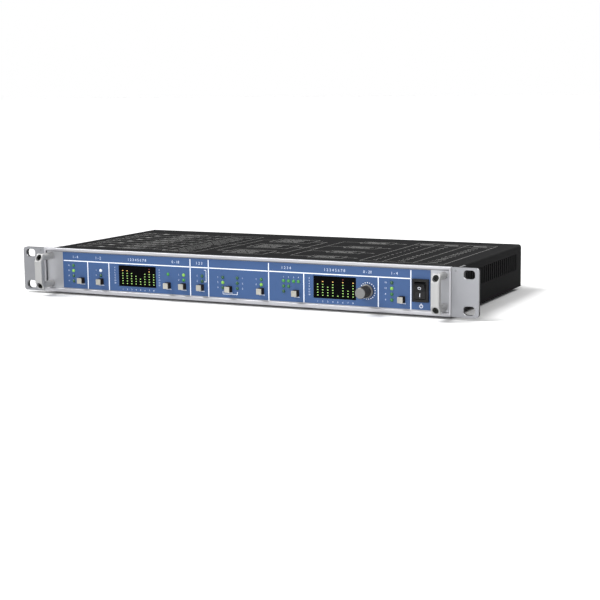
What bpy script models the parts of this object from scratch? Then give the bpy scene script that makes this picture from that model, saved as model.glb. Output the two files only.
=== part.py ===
"""One-unit rack audio converter: case, front controls, rear sockets and the boards inside.

Every place below is given in the rack frame, in metres: x to the right seen from the front, y backwards from
the front face of the rack ears, z up from the rack line, which is the lower edge of the one-unit outline.
The rack frame is an empty that carries every piece. The world origin is on the floor, under the middle of the
whole unit.
"""

import math

import bmesh
import bpy
from mathutils import Matrix, Vector

# Case
CASE_WIDTH = 0.432
CASE_DEPTH = 0.205
CASE_BASE = 0.0007
CASE_TOP = 0.0427
RACK_LINE_HEIGHT = 0.0022
SHEET = 0.0012
COVER_BEND = 0.003
FIT = 0.0003
TRAY_SIDE_HEIGHT = 0.014
TRAY_FRONT_HEIGHT = 0.005
FOOT_DIAMETER = 0.015
FOOT_INSET_X = 0.023
FOOT_INSET_Y = 0.020

# Vent slots in both side walls of the cover
VENT_WIDTH = 0.003
VENT_PITCH = 0.0061
VENT_LOW = 0.0187
VENT_HIGH = 0.0345
VENT_FROM_REAR = 0.0175
VENT_FROM_FRONT = 0.0345

# Front panel, with a rim that stands proud of its face, and the printed overlay on that face
PANEL_HEIGHT = 0.044
PANEL_LIFT = 0.0001
PANEL_THICK = 0.004
PANEL_RECESS = 0.0013
PANEL_EDGE = 0.0006
RIM_SIDE = 0.002
RIM_TOP = 0.0029
RIM_BASE = 0.0037
OVERLAY_LEFT_LAYOUT = 0.194
OVERLAY_RIGHT_LAYOUT = 0.1966
OVERLAY_LOW = 0.0046
OVERLAY_HIGH = 0.0404
OVERLAY_THICK = 0.0005
FILM_GAP = 0.0001

# Rack ears: a pale plate in front of a bent bracket that runs back along the case
EAR_WIDTH = 0.025
EAR_HEIGHT = 0.0437
EAR_PLATE = 0.002
EAR_BRACKET = 0.002
EAR_FLANGE = 0.033
FLANGE_STEP = 0.002
EAR_BEND = 0.003
EAR_CORNER = 0.003
RACK_SLOT_INSET = 0.0163
RACK_SLOT_PITCH = 0.03175
RACK_SLOT_LENGTH = 0.0109
RACK_SLOT_WIDTH = 0.008
RACK_SLOT_ROUND = 0.003

# Handles and their screws
HANDLE_INSET = 0.0072
HANDLE_OUT = 0.0213
HANDLE_DEPTH = 0.006
HANDLE_WIDTH = 0.008
HANDLE_HEIGHT = 0.0356
HANDLE_CHAMFER = 0.0072
HANDLE_TOP = 0.0016
HANDLE_EDGE = 0.0011
POST_WALL = 0.00045
POST_SPACING = 0.028
SCREW_HEAD = 0.0055
SCREW_HEAD_LENGTH = 0.003
SCREW_HEAD_ROOM = 0.0003
SCREW_SHANK = 0.0036
SCREW_SOCKET = 0.0029
SCREW_SINK = 0.0015

# Front controls. Their x places are those on a panel of the layout's width, and spread with the case
LAYOUT_WIDTH = 0.432
BUTTON_LAYOUT = (-0.1716, -0.1492, -0.0721, -0.0552, -0.0355, -0.0049, 0.0289, 0.0652, 0.1699)
BUTTON_Z = 0.0129
BUTTON_WIDTH = 0.0053
BUTTON_HEIGHT = 0.0055
BUTTON_OUT = 0.0057
BUTTON_TRAVEL = 0.001
BUTTON_EDGE = 0.0005
SWITCH_SIZE = 0.006
SWITCH_HEIGHT = 0.0037
BOARD_SETBACK = 0.009
BOARD_THICK = 0.0016
LED_DIAMETER = 0.003
LED_PROUD = 0.0004
LED_SIDES = 8
LED_TALL_LAYOUT = (-0.1816, 0.1600)
LED_TALL_ROWS = 4
LED_TALL_LOW = 0.0118
LED_TALL_PITCH = 0.0052
LED_TOP_Z = 0.0238
LED_ROW_PITCH = 0.0049
LED_COLUMN_LAYOUT = (
    (-0.1493, 2),
    (-0.0721, 1),
    (-0.0547, 2),
    (-0.0344, 2),
    (-0.0119, 3),
    (0.0035, 3),
    (0.0290, 2),
    (0.0522, 3),
    (0.0574, 2),
    (0.0626, 1),
    (0.0675, 1),
)
METER_LAYOUT = (-0.107, 0.104)
METER_Z = 0.0199
METER_WIDTH = 0.042
METER_HEIGHT = 0.020
METER_PANE = 0.0025
METER_PANE_SINK = 0.0002
METER_BLOCK_MARGIN = 0.001
FRONT_BOARD_LEFT_LAYOUT = 0.190
FRONT_BOARD_RIGHT_LAYOUT = 0.176
FRONT_BOARD_LOW = 0.0072
FRONT_BOARD_HIGH = 0.0398
FRONT_STUD_LAYOUT = (-0.185, -0.096, 0.045, 0.172)
FRONT_STUD_Z = 0.036
FRONT_STUD_DIAMETER = 0.005

# Push encoder with its knob
KNOB_LAYOUT = 0.1365
KNOB_Z = 0.0188
KNOB_DIAMETER = 0.0106
KNOB_SKIRT = 0.0126
KNOB_SKIRT_LENGTH = 0.0016
KNOB_LENGTH = 0.016
KNOB_EDGE = 0.0006
KNOB_TRAVEL = 0.0006
SHAFT_DIAMETER = 0.006
SHAFT_IN_KNOB = 0.012
SHAFT_SQUARE = 0.003
SHAFT_SQUARE_LENGTH = 0.0024
ENCODER_SIZE = 0.013
ENCODER_BACK_OPEN = 0.003
BUSHING_DIAMETER = 0.009
BUSHING_PROUD = 0.0003
ROTOR_DIAMETER = 0.010
ROTOR_THICK = 0.0024

# Power rocker in its housing
ROCKER_LAYOUT = 0.188
ROCKER_Z = 0.0221
BEZEL_WIDTH = 0.015
BEZEL_HEIGHT = 0.0204
BEZEL_OUT = 0.003
ROCKER_WIDTH = 0.010
ROCKER_HEIGHT = 0.0148
ROCKER_TILT = math.radians(10.5)
ROCKER_PIVOT_DEPTH = 0.0038
ROCKER_RISE = 0.0017
ROCKER_CLEARANCE = 0.0005
HOUSING_WALL = 0.0008
HOUSING_DEPTH = 0.017
HOUSING_WELL = 0.0105

# Rear panel
REAR_RECESS = 0.001
REAR_SHEET = 0.0015
REAR_SIDE_GAP = 0.0016
REAR_TOP_GAP = 0.0015
REAR_FLANGE = 0.010

# Jacks in two rows of eight
JACK_COUNT = 8
JACK_BODY = 0.013
OUTPUT_JACK_GAP = 0.0083
INPUT_JACK_GAP = 0.0017
JACK_INLET_GAP = 0.0021
JACK_SIDE_INSET = 0.0142
JACK_Z = 0.0124
JACK_BORE = 0.0066
JACK_BORE_DEPTH = 0.026
JACK_COLLAR = 0.0097
JACK_OUT = 0.0035
JACK_WASHER = 0.0114
JACK_WASHER_THICK = 0.001
JACK_BLOCK_DEPTH = 0.024
JACK_BLOCK_TOP = 0.0196
JACK_SIDES = 16

# Mains inlet
INLET_INSET = 0.0375
INLET_Z = 0.0228
INLET_WIDTH = 0.030
INLET_HEIGHT = 0.024
INLET_OUT = 0.015
INLET_NECK_WIDTH = 0.027
INLET_NECK_HEIGHT = 0.0206
INLET_NECK_DEPTH = 0.012
INLET_HOLE_WIDTH = 0.0236
INLET_HOLE_HEIGHT = 0.0162
INLET_HOLE_CHAMFER = 0.0045
INLET_HOLE_DEPTH = 0.017
INLET_PIN_SPACING = 0.007
INLET_PIN_LENGTH = 0.015
INLET_PIN_HEIGHT = 0.004
INLET_PIN_THICK = 0.002
INLET_EARTH_RISE = 0.0035
INLET_LIVE_DROP = 0.0005

# Round sockets of the upper row. A share places one between the optical outputs and the inlet
MIDI_SHARES = (0.825, 0.621)
MIDI_Z = 0.0298
MIDI_DIAMETER = 0.015
MIDI_BODY = 0.0155
REMOTE_SHARE = 0.341
REMOTE_Z = 0.0313
REMOTE_DIAMETER = 0.012
REMOTE_BODY = 0.0126
SOCKET_PROUD = 0.0008
SOCKET_DEPTH = 0.013
BNC_SHARE = 0.121
BNC_TERM_GAP = 0.0193
BNC_Z = 0.0315
BNC_OUT = 0.0155
BNC_NUT = 0.0156
BNC_NUT_LENGTH = 0.003
BNC_NECK = 0.0125
BNC_NECK_LENGTH = 0.0035
BNC_BARREL = 0.0104
BNC_BORE = 0.0082
BNC_BORE_DEPTH = 0.008
BNC_CORE = 0.0048
BNC_CORE_SINK = 0.0015
BNC_BODY = 0.013
BNC_BODY_DEPTH = 0.016

# Optical sockets, in two pairs, with their shutters
OPTICAL_OUTPUT_GAP = 0.0055
OPTICAL_INPUT_GAP = 0.0016
OPTICAL_OUTPUT_PITCH = 0.0141
OPTICAL_INPUT_PITCH = 0.0149
OPTICAL_Z = 0.0297
OPTICAL_SIZE = 0.0096
OPTICAL_WALL = 0.0006
OPTICAL_OUT = 0.0006
OPTICAL_CAVITY = 0.0105
OPTICAL_BODY_HEIGHT = 0.013
OPTICAL_BODY_MARGIN = 0.0011
OPTICAL_BODY_DEPTH = 0.0135
SHUTTER_THICK = 0.0009
SHUTTER_TOP = 0.00045
SHUTTER_SWEEP_GAP = 0.0003
SHUTTER_SINK = 0.0004

# Sockets with 25 poles, and their screw posts
DSUB_OUTPUT_X = 0.0031
DSUB_GAP = 0.0059
DSUB_UPPER_Z = 0.0310
DSUB_LOWER_Z = 0.0128
DSUB_SHELL_HEIGHT = 0.0085
DSUB_SLANT = math.radians(10)
DSUB_CORNER = 0.0022
DSUB_OUT = 0.0058
DSUB_BODY_WIDTH = 0.053
DSUB_BODY_HEIGHT = 0.0122
DSUB_BODY_DEPTH = 0.010
DSUB_EAR = 0.00298
DSUB_POST_SPACE = 0.00784
DSUB_POST_DIAMETER = 0.0052
DSUB_POST_OUT = 0.005

# Termination button and the blank plate over the expansion slot
TERM_GAP = 0.0049
TERM_Z = 0.0296
TERM_WIDTH = 0.004
TERM_HEIGHT = 0.005
TERM_OUT = 0.002
TERM_TRAVEL = 0.0012
TERM_LENGTH = 0.006
TERM_SWITCH_DEPTH = 0.008
PLATE_SIDE_INSET = 0.007
PLATE_BNC_GAP = 0.0284
PLATE_LOW = 0.0186
PLATE_HIGH = 0.0388
PLATE_THICK = 0.0012
SLOT_MARGIN_X = 0.008
SLOT_MARGIN_Z = 0.0035

# Boards and wiring inside
STUD_DIAMETER = 0.006
STUD_HEIGHT = 0.0027
MAIN_BOARD_INSET = 0.010
MAIN_BOARD_FRONT = 0.024
MAIN_BOARD_REAR_GAP = 0.0118
SUPPLY_GAP = 0.003
SUPPLY_INSET = 0.007
SUPPLY_FRONT = 0.062
SUPPLY_REAR_GAP = 0.028
CHIP_COUNT = 8
CHIP_MARGIN = 0.039
CHIP_SIZE = 0.014
CHIP_HEIGHT = 0.002
CHIP_ROW = 0.080
CAPACITOR_COUNT = 12
CAPACITOR_MARGIN = 0.022
CAPACITOR_DIAMETER = 0.006
CAPACITOR_HEIGHT = 0.009
CAPACITOR_ROW = 0.115
TRANSFORMER_SIZE = 0.024
TRANSFORMER_HEIGHT = 0.022
HEAT_SINK_INSET = 0.004
HEAT_SINK_THICK = 0.002
HEAT_SINK_LENGTH = 0.032
HEAT_SINK_HEIGHT = 0.018
STORE_DIAMETER = 0.012
STORE_HEIGHT = 0.016
STORE_SPACING = 0.015
STORE_INSET = 0.018
DIGITAL_BOARD_TOP = 0.0217
DIGITAL_BNC_MARGIN = 0.0161
DIGITAL_INLET_GAP = 0.0185
DIGITAL_DEPTH = 0.034
DIGITAL_REAR_GAP = 0.0006
PILLAR_DIAMETER = 0.005
RIBBON_WIDTH = 0.032
RIBBON_THICK = 0.001
RIBBON_BEND = 0.007
RIBBON_RUN = 0.006
RIBBON_LAYOUT = -0.015
HEADER_DEPTH = 0.003
HEADER_HEIGHT = 0.006
WIRE_DIAMETER = 0.005
WIRE_INSET = 0.010
WIRE_Z = 0.0255
WIRE_BEND = 0.012

# Round shapes
ROUND_SIDES = 24
SMALL_SIDES = 12
ARC_STEPS = 4

# Places worked out from the sizes above
FACE_Y = PANEL_RECESS
OVERLAY_BACK = FACE_Y - FILM_GAP
OVERLAY_FRONT = OVERLAY_BACK - OVERLAY_THICK
PANEL_BACK = PANEL_THICK
CASE_FRONT = PANEL_BACK + FIT
BOARD_FRONT = PANEL_BACK + BOARD_SETBACK
BOARD_BACK = BOARD_FRONT + BOARD_THICK
REAR_FACE = CASE_DEPTH - REAR_RECESS
REAR_INSIDE = REAR_FACE - REAR_SHEET
BEHIND_PANEL = REAR_INSIDE - FIT
CASE_HALF = CASE_WIDTH / 2
COVER_INSIDE = CASE_HALF - SHEET
TRAY_HALF = COVER_INSIDE - FIT
TRAY_TOP = CASE_BASE + SHEET
MAIN_BASE = TRAY_TOP + STUD_HEIGHT + FIT
MAIN_TOP = MAIN_BASE + BOARD_THICK
PANEL_MIDDLE = PANEL_LIFT + PANEL_HEIGHT / 2

# Front places, spread with the case
SPREAD = CASE_WIDTH / LAYOUT_WIDTH
OVERLAY_LEFT = OVERLAY_LEFT_LAYOUT * SPREAD
OVERLAY_RIGHT = OVERLAY_RIGHT_LAYOUT * SPREAD
BUTTON_X = [x * SPREAD for x in BUTTON_LAYOUT]
LED_TALL_X = [x * SPREAD for x in LED_TALL_LAYOUT]
LED_COLUMNS = [(x * SPREAD, rows) for x, rows in LED_COLUMN_LAYOUT]
METER_X = [x * SPREAD for x in METER_LAYOUT]
FRONT_BOARD_LEFT = FRONT_BOARD_LEFT_LAYOUT * SPREAD
FRONT_BOARD_RIGHT = FRONT_BOARD_RIGHT_LAYOUT * SPREAD
FRONT_STUD_X = [x * SPREAD for x in FRONT_STUD_LAYOUT]
KNOB_X = KNOB_LAYOUT * SPREAD
ROCKER_X = ROCKER_LAYOUT * SPREAD
RIBBON_X = RIBBON_LAYOUT * SPREAD
HANDLE_X = CASE_HALF - HANDLE_INSET
HANDLE_CHAMFER_DEPTH = HANDLE_DEPTH - HANDLE_TOP
SCREW_BORE = SCREW_HEAD + 2 * SCREW_HEAD_ROOM
POST_DIAMETER = SCREW_BORE + 2 * POST_WALL
RACK_SLOT_X = CASE_HALF + FIT + RACK_SLOT_INSET

# Rear places, each from its neighbour or from the case's side
INLET_X = CASE_HALF - INLET_INSET
INLET_LEFT = INLET_X - INLET_WIDTH / 2
DSUB_HALF = DSUB_BODY_WIDTH / 2
DSUB_POST_PITCH = DSUB_BODY_WIDTH - 2 * DSUB_EAR
DSUB_SHELL_WIDTH = DSUB_POST_PITCH - DSUB_POST_SPACE
DSUB_INPUT_X = DSUB_OUTPUT_X - DSUB_BODY_WIDTH - DSUB_GAP
DSUB_PLACES = (
    ("dsub_upper", DSUB_OUTPUT_X, DSUB_UPPER_Z),
    ("dsub_lower", DSUB_OUTPUT_X, DSUB_LOWER_Z),
    ("dsub_input", DSUB_INPUT_X, DSUB_LOWER_Z),
)
OPTICAL_HALF = OPTICAL_SIZE / 2 + OPTICAL_BODY_MARGIN
OPTICAL_OUTPUT_X = DSUB_OUTPUT_X + DSUB_HALF + OPTICAL_OUTPUT_GAP + OPTICAL_HALF
OPTICAL_INPUT_X = DSUB_OUTPUT_X - DSUB_HALF - OPTICAL_INPUT_GAP - OPTICAL_HALF
OPTICAL_PAIRS = (
    (OPTICAL_OUTPUT_X + OPTICAL_OUTPUT_PITCH, OPTICAL_OUTPUT_X),
    (OPTICAL_INPUT_X, OPTICAL_INPUT_X - OPTICAL_INPUT_PITCH),
)
TERM_X = OPTICAL_INPUT_X - OPTICAL_INPUT_PITCH - OPTICAL_HALF - TERM_GAP
ROUND_START = OPTICAL_OUTPUT_X + OPTICAL_OUTPUT_PITCH + OPTICAL_HALF
ROUND_SPAN = INLET_LEFT - ROUND_START
MIDI_X = [ROUND_START + share * ROUND_SPAN for share in MIDI_SHARES]
REMOTE_X = ROUND_START + REMOTE_SHARE * ROUND_SPAN
BNC_X = (ROUND_START + BNC_SHARE * ROUND_SPAN, TERM_X - BNC_TERM_GAP)
OUTPUT_JACK_X = DSUB_OUTPUT_X + DSUB_HALF + OUTPUT_JACK_GAP + JACK_BODY / 2
OUTPUT_JACK_END = INLET_LEFT - JACK_INLET_GAP - JACK_WASHER / 2
INPUT_JACK_X = DSUB_INPUT_X - DSUB_HALF - INPUT_JACK_GAP - JACK_BODY / 2
INPUT_JACK_END = JACK_SIDE_INSET - CASE_HALF
PLATE_LEFT = PLATE_SIDE_INSET - CASE_HALF
PLATE_RIGHT = BNC_X[1] - PLATE_BNC_GAP

# Board edges
MAIN_BOARD_LEFT = CASE_HALF - MAIN_BOARD_INSET
MAIN_BOARD_RIGHT = INLET_X - INLET_NECK_WIDTH / 2
SUPPLY_LEFT = MAIN_BOARD_RIGHT + SUPPLY_GAP
SUPPLY_RIGHT = CASE_HALF - SUPPLY_INSET
DIGITAL_LEFT = DIGITAL_BNC_MARGIN - BNC_X[1]
DIGITAL_RIGHT = INLET_X - DIGITAL_INLET_GAP
WIRE_X = CASE_HALF - WIRE_INSET

# The whole unit from front to back
REAR_REACH = REAR_FACE + max(BNC_OUT, INLET_OUT)
FRONT_Y = (HANDLE_OUT - REAR_REACH) / 2


class Shape:
    """Closed solids gathered in one mesh, in the rack frame."""

    def __init__(self):
        self.bm = bmesh.new()

    def box(self, low, high):
        low = Vector(low)
        high = Vector(high)
        place = Matrix.Translation((low + high) / 2) @ Matrix.Diagonal((*(high - low), 1))
        bmesh.ops.create_cube(self.bm, size=1, matrix=place)
        return self

    def rod(self, start, end, diameter, sides=SMALL_SIDES):
        start = Vector(start)
        end = Vector(end)
        along = end - start
        turn = along.to_track_quat("Z", "Y").to_matrix().to_4x4()
        bmesh.ops.create_cone(
            self.bm,
            cap_ends=True,
            segments=sides,
            radius1=diameter / 2,
            radius2=diameter / 2,
            depth=along.length,
            matrix=Matrix.Translation((start + end) / 2) @ turn,
        )
        return self

    def prism(self, outline, axis, low, high):
        """A flat outline pulled from low to high along one axis: outlines are (y, z), (x, z) or (x, y)."""
        to_rack = {
            "X": Matrix(((0, 0, 1, 0), (1, 0, 0, 0), (0, 1, 0, 0), (0, 0, 0, 1))),
            "Y": Matrix(((1, 0, 0, 0), (0, 0, -1, 0), (0, 1, 0, 0), (0, 0, 0, 1))),
            "Z": Matrix.Identity(4),
        }[axis]
        middle = [0, 0, 0]
        middle["XYZ".index(axis)] = (low + high) / 2
        mesh = flat_solid(outline, high - low)
        mesh.transform(Matrix.Translation(middle) @ to_rack)
        self.bm.from_mesh(mesh)
        bpy.data.meshes.remove(mesh)
        return self

    def mesh(self, name):
        made = bpy.data.meshes.new(name)
        bmesh.ops.recalc_face_normals(self.bm, faces=self.bm.faces)
        self.bm.to_mesh(made)
        self.bm.free()
        made.shade_smooth()
        made.set_sharp_from_angle(angle=math.radians(30))
        return made


def flat_solid(outline, thickness):
    """The mesh of a filled 2D curve of this outline, welded along its caps."""
    curve = bpy.data.curves.new("outline", "CURVE")
    curve.dimensions = "2D"
    curve.fill_mode = "BOTH"
    curve.extrude = thickness / 2
    spline = curve.splines.new("POLY")
    spline.points.add(len(outline) - 1)
    for point, (u, v) in zip(spline.points, outline):
        point.co = (u, v, 0, 1)
    spline.use_cyclic_u = True
    guide = bpy.data.objects.new("outline", curve)
    bpy.context.scene.collection.objects.link(guide)
    graph = bpy.context.evaluated_depsgraph_get()
    mesh = bpy.data.meshes.new_from_object(guide.evaluated_get(graph))
    bpy.data.objects.remove(guide)
    bpy.data.curves.remove(curve)
    bm = bmesh.new()
    bm.from_mesh(mesh)
    bmesh.ops.remove_doubles(bm, verts=bm.verts, dist=1e-6)
    bm.to_mesh(mesh)
    bm.free()
    return mesh


def arc(centre, radius, start, end, steps=ARC_STEPS):
    """Points along a circle, from one angle to another, in degrees."""
    points = []
    for step in range(steps + 1):
        angle = math.radians(start + (end - start) * step / steps)
        points.append((centre[0] + radius * math.cos(angle), centre[1] + radius * math.sin(angle)))
    return points


def finish(name, colour, roughness, metallic=0.0):
    material = bpy.data.materials.new(name)
    material.use_nodes = True
    shader = material.node_tree.nodes["Principled BSDF"]
    shader.inputs["Base Color"].default_value = (*colour, 1)
    shader.inputs["Roughness"].default_value = roughness
    shader.inputs["Metallic"].default_value = metallic
    material.diffuse_color = (*colour, 1)
    return material


def place(name, mesh, collection):
    made = bpy.data.objects.new(name, mesh)
    collection.objects.link(made)
    made.parent = rack_frame
    return made


def part(name, shape, material):
    made = place(name, shape.mesh(name), parts)
    made.data.materials.append(material)
    return made


def tool(name, shape):
    """A helper solid that cuts or joins parts and isn't itself a part."""
    made = place(name, shape.mesh(name), tools)
    made.hide_render = True
    made.display_type = "WIRE"
    return made


def combine(target, helper, operation):
    change = target.modifiers.new(helper.name, "BOOLEAN")
    change.operation = operation
    change.object = helper
    change.solver = "EXACT"


def round_edges(target, width, segments=2):
    bevel = target.modifiers.new("round_edges", "BEVEL")
    bevel.width = width
    bevel.segments = segments
    bevel.limit_method = "ANGLE"
    bevel.angle_limit = math.radians(40)


def turned(name, profile, collection, steps=ROUND_SIDES):
    """A profile of (radius, height) points, from its top downwards, turned about the local Z axis."""
    bm = bmesh.new()
    points = [bm.verts.new((radius, 0, height)) for radius, height in profile]
    for first, second in zip(points, points[1:]):
        bm.edges.new((first, second))
    mesh = bpy.data.meshes.new(name)
    bm.to_mesh(mesh)
    bm.free()
    made = place(name, mesh, collection)
    screw = made.modifiers.new("turn", "SCREW")
    screw.axis = "Z"
    screw.steps = steps
    screw.render_steps = steps
    screw.use_merge_vertices = True
    screw.merge_threshold = 1e-5
    return made


def set_pivot(target, point):
    """Moves a piece's origin onto its joint's axis, and leaves the piece where it is."""
    target.data.transform(Matrix.Translation(-Vector(point)))
    target.location = point


def start_scene():
    for old in list(bpy.data.objects):
        bpy.data.objects.remove(old)
    for name in ("rack_audio_interface", "cutters"):
        bpy.context.scene.collection.children.link(bpy.data.collections.new(name))
    frame = bpy.data.objects.new("rack_frame", None)
    frame.location = (0, FRONT_Y, RACK_LINE_HEIGHT)
    bpy.data.collections["rack_audio_interface"].objects.link(frame)
    return frame


def led_places():
    """Where each status light shows, as (x, z)."""
    places = []
    for x in LED_TALL_X:
        places += [(x, LED_TALL_LOW + LED_TALL_PITCH * row) for row in range(LED_TALL_ROWS)]
    for x, rows in LED_COLUMNS:
        places += [(x, LED_TOP_Z - LED_ROW_PITCH * row) for row in range(rows)]
    return places


def handle_posts():
    """The side, x and z of each handle post."""
    posts = []
    for side in (-1, 1):
        for level in (-1, 1):
            posts.append((side, level, side * HANDLE_X, PANEL_MIDDLE + level * POST_SPACING / 2))
    return posts


def jack_places(first, last):
    return spaced(first, last, JACK_COUNT)


def spaced(first, last, count):
    """Even places from first to last."""
    return [first + (last - first) * index / (count - 1) for index in range(count)]


def add_base_tray():
    tray = Shape()
    outside = TRAY_HALF
    inside = TRAY_HALF - SHEET
    side_top = CASE_BASE + TRAY_SIDE_HEIGHT
    outline = [
        (-outside, CASE_BASE),
        (outside, CASE_BASE),
        (outside, side_top),
        (inside, side_top),
        (inside, TRAY_TOP),
        (-inside, TRAY_TOP),
        (-inside, side_top),
        (-outside, side_top),
    ]
    made = part("base_tray", tray.prism(outline, "Y", CASE_FRONT, REAR_INSIDE), black_paint)
    details = Shape()
    fused = SHEET / 2
    for x, y in board_studs():
        details.rod((x, y, TRAY_TOP - fused), (x, y, TRAY_TOP + STUD_HEIGHT), STUD_DIAMETER)
    details.box(
        (-inside + SHEET, CASE_FRONT, TRAY_TOP - fused),
        (inside - SHEET, CASE_FRONT + SHEET, TRAY_TOP + TRAY_FRONT_HEIGHT),
    )
    combine(made, tool("tray_studs", details), "UNION")


def board_studs():
    """Where the studs under the main board and the supply board stand."""
    main_rear = REAR_INSIDE - MAIN_BOARD_REAR_GAP
    supply_rear = REAR_INSIDE - SUPPLY_REAR_GAP
    inset = STUD_DIAMETER
    places = []
    for x in (inset - MAIN_BOARD_LEFT, (MAIN_BOARD_RIGHT - MAIN_BOARD_LEFT) / 2, MAIN_BOARD_RIGHT - inset):
        places += [(x, MAIN_BOARD_FRONT + inset), (x, main_rear - inset)]
    for x in (SUPPLY_LEFT + inset, SUPPLY_RIGHT - inset):
        places += [(x, SUPPLY_FRONT + inset), (x, supply_rear - inset)]
    return places


def add_top_cover():
    def half_ring(side, inset, radius):
        x = CASE_HALF - COVER_BEND
        z = CASE_TOP - COVER_BEND
        bend = arc((x, z), radius, 0, 90)
        points = [(CASE_HALF - inset, CASE_BASE)] + bend
        return [(side * u, v) for u, v in points]

    outer = half_ring(1, 0, COVER_BEND) + half_ring(-1, 0, COVER_BEND)[::-1]
    inner = half_ring(-1, SHEET, COVER_BEND - SHEET) + half_ring(1, SHEET, COVER_BEND - SHEET)[::-1]
    made = part("top_cover", Shape().prism(outer + inner, "Y", CASE_FRONT, CASE_DEPTH), black_paint)
    slots = Shape()
    reach = CASE_HALF + SHEET
    count = int((CASE_DEPTH - VENT_FROM_REAR - VENT_FROM_FRONT) / VENT_PITCH + 1e-6) + 1
    for index in range(count):
        y = CASE_DEPTH - VENT_FROM_REAR - index * VENT_PITCH
        slots.box((-reach, y - VENT_WIDTH / 2, VENT_LOW), (reach, y + VENT_WIDTH / 2, VENT_HIGH))
    combine(made, tool("vent_slots", slots), "DIFFERENCE")


def add_feet():
    for y_name, y in (("front", CASE_FRONT + FOOT_INSET_Y), ("rear", CASE_DEPTH - FOOT_INSET_Y)):
        for x_name, side in (("left", -1), ("right", 1)):
            x = side * (CASE_HALF - FOOT_INSET_X)
            foot = Shape().rod((x, y, -RACK_LINE_HEIGHT), (x, y, CASE_BASE - FIT), FOOT_DIAMETER, ROUND_SIDES)
            part(f"foot_{y_name}_{x_name}", foot, rubber)


def front_holes():
    """The cut-outs that the front panel and its overlay share."""
    holes = Shape()
    before = OVERLAY_FRONT - PANEL_THICK
    behind = PANEL_BACK + PANEL_THICK
    for x in BUTTON_X:
        half = Vector((BUTTON_WIDTH / 2 + FIT, 0, BUTTON_HEIGHT / 2 + FIT))
        holes.box(Vector((x, before, BUTTON_Z)) - half, Vector((x, behind, BUTTON_Z)) + half)
    for x, z in led_places():
        holes.rod((x, before, z), (x, behind, z), LED_DIAMETER + 2 * FIT, LED_SIDES)
    for x in METER_X:
        half = Vector((METER_WIDTH / 2 + FIT, 0, METER_HEIGHT / 2 + FIT))
        holes.box(Vector((x, before, METER_Z)) - half, Vector((x, behind, METER_Z)) + half)
    holes.rod((KNOB_X, before, KNOB_Z), (KNOB_X, behind, KNOB_Z), BUSHING_DIAMETER + 2 * FIT, SMALL_SIDES)
    neck = housing_neck(FIT)
    holes.box((neck[0][0], before, neck[0][1]), (neck[1][0], behind, neck[1][1]))
    for _, _, x, z in handle_posts():
        holes.rod((x, before, z), (x, behind, z), SCREW_SHANK + 2 * FIT, SMALL_SIDES)
    return tool("front_holes", holes)


def add_front_panel(holes):
    low = PANEL_LIFT
    high = PANEL_LIFT + PANEL_HEIGHT
    panel = Shape().box((-CASE_HALF, 0, low), (CASE_HALF, PANEL_BACK, high))
    made = part("front_panel", panel, silver_paint)
    round_edges(made, PANEL_EDGE)
    recess = Shape().box(
        (RIM_SIDE - CASE_HALF, -PANEL_THICK, low + RIM_BASE),
        (CASE_HALF - RIM_SIDE, FACE_Y, high - RIM_TOP),
    )
    combine(made, tool("panel_recess", recess), "DIFFERENCE")
    studs = Shape()
    for x in FRONT_STUD_X:
        tip = (x, BOARD_FRONT - FIT, FRONT_STUD_Z)
        studs.rod((x, PANEL_BACK - SHEET, FRONT_STUD_Z), tip, FRONT_STUD_DIAMETER)
    combine(made, tool("panel_studs", studs), "UNION")
    combine(made, holes, "DIFFERENCE")


def add_overlay(holes):
    sheet = Shape().box(
        (-OVERLAY_LEFT, OVERLAY_FRONT, OVERLAY_LOW), (OVERLAY_RIGHT, OVERLAY_BACK, OVERLAY_HIGH)
    )
    combine(part("fascia_overlay", sheet, blue_print), holes, "DIFFERENCE")


def add_meter_windows():
    front = OVERLAY_FRONT + METER_PANE_SINK
    for name, x in zip(("left", "right"), METER_X):
        half_width = METER_WIDTH / 2
        half_height = METER_HEIGHT / 2
        pane = Shape().box(
            (x - half_width, front, METER_Z - half_height),
            (x + half_width, front + METER_PANE, METER_Z + half_height),
        )
        part(f"meter_window_{name}", pane, dark_lens)


def ear_outline(side):
    """The ear's front outline, with rounded outer corners."""
    inner = CASE_HALF + FIT
    outer = inner + EAR_WIDTH
    low = PANEL_MIDDLE - EAR_HEIGHT / 2
    high = PANEL_MIDDLE + EAR_HEIGHT / 2
    points = [(inner, low)]
    points += arc((outer - EAR_CORNER, low + EAR_CORNER), EAR_CORNER, -90, 0)
    points += arc((outer - EAR_CORNER, high - EAR_CORNER), EAR_CORNER, 0, 90)
    points.append((inner, high))
    return [(side * u, v) for u, v in points]


def bracket_outline(side):
    """The bracket seen from above: the ear, its bend and the flange along the case."""
    inner = CASE_HALF + FIT
    front = EAR_PLATE + FIT
    outside_bend = EAR_BEND + EAR_BRACKET
    centre = (inner + outside_bend, front + outside_bend)
    points = arc(centre, outside_bend, 180, 270)
    points += [(inner + EAR_WIDTH, front), (inner + EAR_WIDTH, front + EAR_BRACKET)]
    points += arc(centre, EAR_BEND, 270, 180)
    points += [(inner + EAR_BRACKET, EAR_FLANGE), (inner, EAR_FLANGE)]
    return [(side * u, v) for u, v in points]


def rack_slot(x, z):
    """A slot with round corners, lying along x."""
    across = RACK_SLOT_LENGTH / 2 - RACK_SLOT_ROUND
    up = RACK_SLOT_WIDTH / 2 - RACK_SLOT_ROUND
    points = []
    for turn, u, v in ((-90, across, -up), (0, across, up), (90, -across, up), (180, -across, -up)):
        points += arc((x + u, z + v), RACK_SLOT_ROUND, turn, turn + 90)
    return points


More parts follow.
